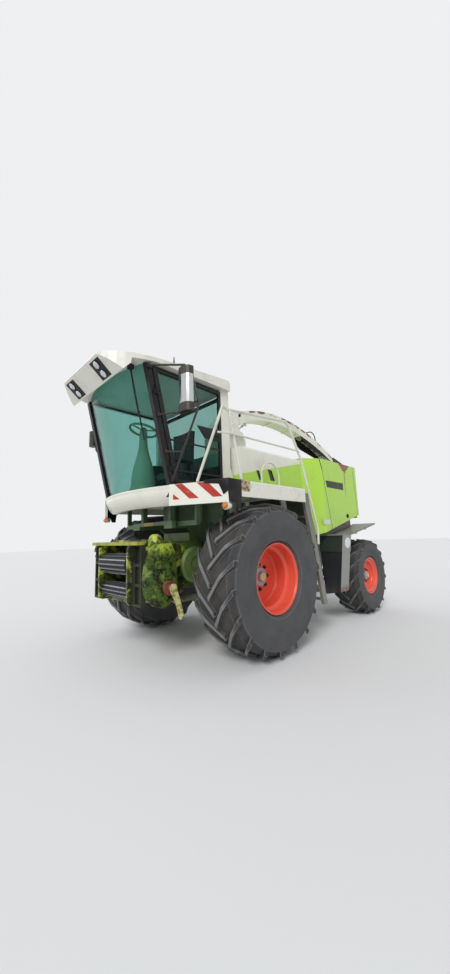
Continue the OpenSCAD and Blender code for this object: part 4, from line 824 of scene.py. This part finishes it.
# Panel trim on the rear body's sides: a dark strip of bare foil, a blank white plate low down, and a
# round black latch. The strip and plate carry no signs.
dark_foil = moulded("dark_foil", (0.045, 0.05, 0.052), 0.3, 0.25)
white_foil = moulded("white_plate", (0.66, 0.67, 0.62), 0.3, 0.3)
latch_black = moulded("latch_black", (0.012, 0.012, 0.012), 0.4, 0.2)
panel_y = 1.2003
strip_outline = ((-0.321, 2.311), (-0.957, 2.317), (-0.954, 2.190), (-0.356, 2.197))
plate_outline = ((-0.145, 1.650), (-0.390, 1.650), (-0.390, 1.575), (-0.159, 1.575))
for side, word in ((1, "left"), (-1, "right")):
    for name, outline, finish, slot in (("trim_strip", strip_outline, dark_foil, "grey"),
                                        ("blank_plate", plate_outline, white_foil, "cream")):
        foil = thick_sheet([(x, side * panel_y, z) for x, z in outline], (0, side * 0.001, 0))
        settle(foil, word + "_" + name, "chassis", finish)
    bpy.ops.mesh.primitive_cylinder_add(vertices=40, radius=0.036, depth=0.012,
                                        location=(-1.033, side * 1.206, 1.725),
                                        rotation=(-side * math.pi / 2, 0, 0))
    latch = bpy.context.object
    bpy.ops.object.transform_apply(location=True, rotation=True)
    bpy.ops.object.mode_set(mode="EDIT")
    pick(lambda centre, normal: normal.y * side > 0.9)
    bpy.ops.mesh.inset(thickness=0.008)
    push_out(0, -side * 0.008, 0)
    bpy.ops.mesh.inset(thickness=0.014)
    push_out(0, side * 0.006, 0)
    bpy.ops.object.mode_set(mode="OBJECT")
    harden(latch, 0.0012, 2)
    settle(latch, word + "_panel_latch", "chassis", latch_black)


# Side reflectors: round white reflectors on the light ends of the dark boxes in front of the rear
# wheels, each in a moulded ring. They lean with the box's side.
white_lens, tree, shader, place, parts = new_finish("white_reflector")
cells = foil_cells(tree, place, 240)
coat(tree, shader, blend_colour(tree, cells, (0.82, 0.82, 0.82), (0.62, 0.62, 0.64)), 0.15)
shader.inputs["Coat Weight"].default_value = 0.8
raise_skin(tree, shader, cells, 0.001, 0.5)
lean = math.atan(111 / 890)
for side, word in ((1, "left"), (-1, "right")):
    bpy.ops.mesh.primitive_cylinder_add(vertices=48, radius=0.088, depth=0.014)
    disc = bpy.context.object
    bpy.ops.object.mode_set(mode="EDIT")
    pick(lambda centre, normal: normal.z > 0.9)
    bpy.ops.mesh.inset(thickness=0.006)
    push_out(0, 0, -0.003)
    bpy.ops.mesh.inset(thickness=0.012)
    bpy.ops.transform.translate(value=(0, 0, 0.004))
    bpy.ops.mesh.inset(thickness=0.016)
    bpy.ops.transform.translate(value=(0, 0, 0.002))
    bpy.ops.object.mode_set(mode="OBJECT")
    harden(disc, 0.001, 1)
    facing = Matrix.Rotation(-side * (math.pi / 2 + lean), 4, "X")
    disc.matrix_world = Matrix.Translation((-0.478, side * 1.420, 1.262)) @ facing
    settle(disc, word + "_side_reflector", "chassis", white_lens)


# Driver's seat: a pedestal in a rubber bellows, two cushions of dark woven cloth with channels
# sewn across them, and two moulded armrests.
cloth, tree, shader, place, parts = new_finish("seat_cloth")
thread = 1900.0
weft = reckon(tree, "SINE", times(tree, parts["Y"], thread))
warp = reckon(tree, "SINE", times(tree, reckon(tree, "ADD", parts["X"], parts["Z"]), thread))
faded = clouds(tree, place, 0.15, 6)
coat(tree, shader, blend_colour(tree, faded, (0.025, 0.027, 0.032), (0.075, 0.078, 0.085)), 0.9)
shader.inputs["Sheen Weight"].default_value = 0.4
raise_skin(tree, shader, times(tree, weft, warp), 0.0008, 0.6)
bellows_rubber = moulded("bellows_rubber", (0.02, 0.02, 0.02), 0.6, 0.3)


def crown(piece, middle, half, thick, puff, channels):
    """crowns a box of many faces, thin along the axis thick: its faces bulge, its sides pull in
    between the corners, and channels are sewn across it"""
    flat = [i for i in range(3) if i != thick]
    for corner in piece.data.vertices:
        p = [(corner.co[i] - middle[i]) / half[i] for i in range(3)]
        rise = (1 - p[flat[0]] ** 4) * (1 - p[flat[1]] ** 4)
        stitchline = max(math.exp(-((p[flat[0]] - c) / 0.035) ** 2) for c in channels)
        corner.co[thick] += p[thick] * half[thick] * (rise * puff - stitchline * puff * 0.8)
        for a, b in ((flat[0], flat[1]), (flat[1], flat[0])):
            corner.co[a] -= p[a] * half[a] * 0.05 * (1 - p[b] ** 2) * (1 if abs(p[a]) > 0.6 else 0)


back_lean = 0.05
for name, middle, half, thick, channels in (
        ("seat_cushion", (1.975, 0, 2.283), (0.225, 0.232, 0.044), 2, (-0.45, 0.05, 0.55)),
        ("seat_back", (1.755, 0, 2.66), (0.042, 0.215, 0.345), 0, (-0.6, 0.0, 0.6))):
    bpy.ops.mesh.primitive_cube_add(size=2, location=middle, scale=half)
    bpy.ops.object.transform_apply(location=True, scale=True)
    pad = bpy.context.object
    bpy.ops.object.mode_set(mode="EDIT")
    bpy.ops.mesh.select_all(action="SELECT")
    bpy.ops.mesh.subdivide(number_cuts=30)
    bpy.ops.object.mode_set(mode="OBJECT")
    if name == "seat_back":
        for corner in pad.data.vertices:
            corner.co.x -= back_lean * (corner.co.z - middle[2])
    crown(pad, middle, half, thick, puff=0.42, channels=channels)
    harden(pad, 0.012, 3)
    smooth = pad.modifiers.new("rounding", "SMOOTH")
    smooth.iterations = 6
    bpy.ops.object.modifier_apply(modifier="rounding")
    settle(pad, name, "chassis", cloth, 60)
    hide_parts("seat")

bellows_x, bellows_foot, bellows_height = 1.93, 2.042, 0.17
bpy.ops.mesh.primitive_cylinder_add(vertices=32, radius=0.16, depth=bellows_height,
                                    location=(bellows_x, 0, 2.127))
pedestal = bpy.context.object
bpy.ops.object.transform_apply(location=True)
bpy.ops.object.mode_set(mode="EDIT")
pick(lambda centre, normal: abs(normal.z) < 0.5)
bpy.ops.mesh.subdivide(number_cuts=9)
mesh = bmesh.from_edit_mesh(pedestal.data)
for corner in mesh.verts:
    fold = 1 + 0.07 * math.cos((corner.co.z - bellows_foot) / bellows_height * 10 * math.pi)
    corner.co.x = bellows_x + (corner.co.x - bellows_x) * fold
    corner.co.y = corner.co.y * fold
bmesh.update_edit_mesh(pedestal.data)
bpy.ops.object.mode_set(mode="OBJECT")
settle(pedestal, "seat_pedestal", "chassis", bellows_rubber, 50)
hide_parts("seat")
arms = []
for side in (1, -1):
    for size, at in (((0.28, 0.048, 0.04), (1.957, side * 0.276, 2.492)),
                     ((0.05, 0.03, 0.19), (1.862, side * 0.262, 2.395))):
        bpy.ops.mesh.primitive_cube_add(size=1, location=at, scale=size)
        bpy.ops.object.transform_apply(location=True, scale=True)
        arm = bpy.context.object
        bpy.ops.object.mode_set(mode="EDIT")
        pick(lambda centre, normal: normal.x > 0.9)
        bpy.ops.mesh.inset(thickness=0.006)
        bpy.ops.transform.translate(value=(0.006, 0, 0))
        bpy.ops.object.mode_set(mode="OBJECT")
        harden(arm, 0.008, 3)
        arms.append(arm)
armrests = settle(join_up(arms), "seat_armrests", "chassis", bellows_rubber, 50)
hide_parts("seat")


# Operator's console: a moulded stand to the right of the seat with a raised top, which carries the
# drive lever and its knob. It stands on the cab floor.
bpy.ops.mesh.primitive_cube_add(size=1, location=(1.95, -0.43, 2.265), scale=(0.46, 0.17, 0.44))
bpy.ops.object.transform_apply(location=True, scale=True)
stand = bpy.context.object
bpy.ops.object.mode_set(mode="EDIT")
pick(lambda centre, normal: normal.z < -0.9)
bpy.ops.transform.resize(value=(0.55, 0.8, 1))
pick(lambda centre, normal: normal.z > 0.9)
bpy.ops.mesh.inset(thickness=0.016)
push_out(0, 0, 0.018)
bpy.ops.mesh.inset(thickness=0.02)
bpy.ops.object.mode_set(mode="OBJECT")
harden(stand, 0.008, 3)
bpy.ops.mesh.primitive_cylinder_add(vertices=24, radius=0.009, depth=0.14, location=(2.10, -0.43, 2.56))
stem = bpy.context.object
bpy.ops.object.transform_apply(location=True)
bpy.ops.object.mode_set(mode="EDIT")
pick(lambda centre, normal: normal.z < -0.9)
bpy.ops.transform.resize(value=(2.4, 2.4, 1))
bpy.ops.object.mode_set(mode="OBJECT")
knob_place = (2.10, -0.43, 2.64)
bpy.ops.mesh.primitive_uv_sphere_add(segments=28, ring_count=16, radius=0.03, location=knob_place)
knob = bpy.context.object
bpy.ops.object.transform_apply(location=True)
bpy.ops.object.mode_set(mode="EDIT")
pick(lambda centre, normal: centre.z > knob_place[2])
bpy.ops.transform.resize(value=(1.2, 0.85, 1.5), center_override=knob_place)
bpy.ops.object.mode_set(mode="OBJECT")
console_plastic = moulded("console_plastic", (0.09, 0.10, 0.095), 0.45, 0.2)
settle(join_up([stand, stem, knob]), "cab_console", "chassis", console_plastic)


# Spout hoses: two black hydraulic hoses that run along the spout's back to the flap's actuator,
# with one raised loop each before it. They are only here, and have no solid of their own.
hose_rubber = moulded("hose_rubber", (0.012, 0.012, 0.012), 0.45, 0.15)
hoses = []
for y, lift in ((0.045, 0.0), (-0.045, 0.03)):
    bpy.ops.curve.primitive_bezier_curve_add()
    hose = bpy.context.object
    spline = hose.data.splines[0]
    points = ((-0.95, y, 3.800), (-1.35, y, 3.746), (-1.62, y, 3.690), (-1.76, y * 1.5, 3.72 + lift),
              (-1.90, y * 2.2, 3.75 + lift), (-2.04, y * 2.0, 3.70 + lift), (-2.15, y * 1.3, 3.60),
              (-2.24, y, 3.50))
    spline.bezier_points.add(len(points) - 2)
    for knot, at in zip(spline.bezier_points, points):
        knot.co = at
        knot.handle_left_type = knot.handle_right_type = "AUTO"
    hose.data.bevel_depth = 0.011
    hose.data.bevel_resolution = 4
    hose.data.resolution_u = 14
    hose.data.use_fill_caps = True
    bpy.ops.object.convert(target="MESH")
    hoses.append(bpy.context.object)
settle(join_up(hoses), "spout_hoses", "spout", hose_rubber)
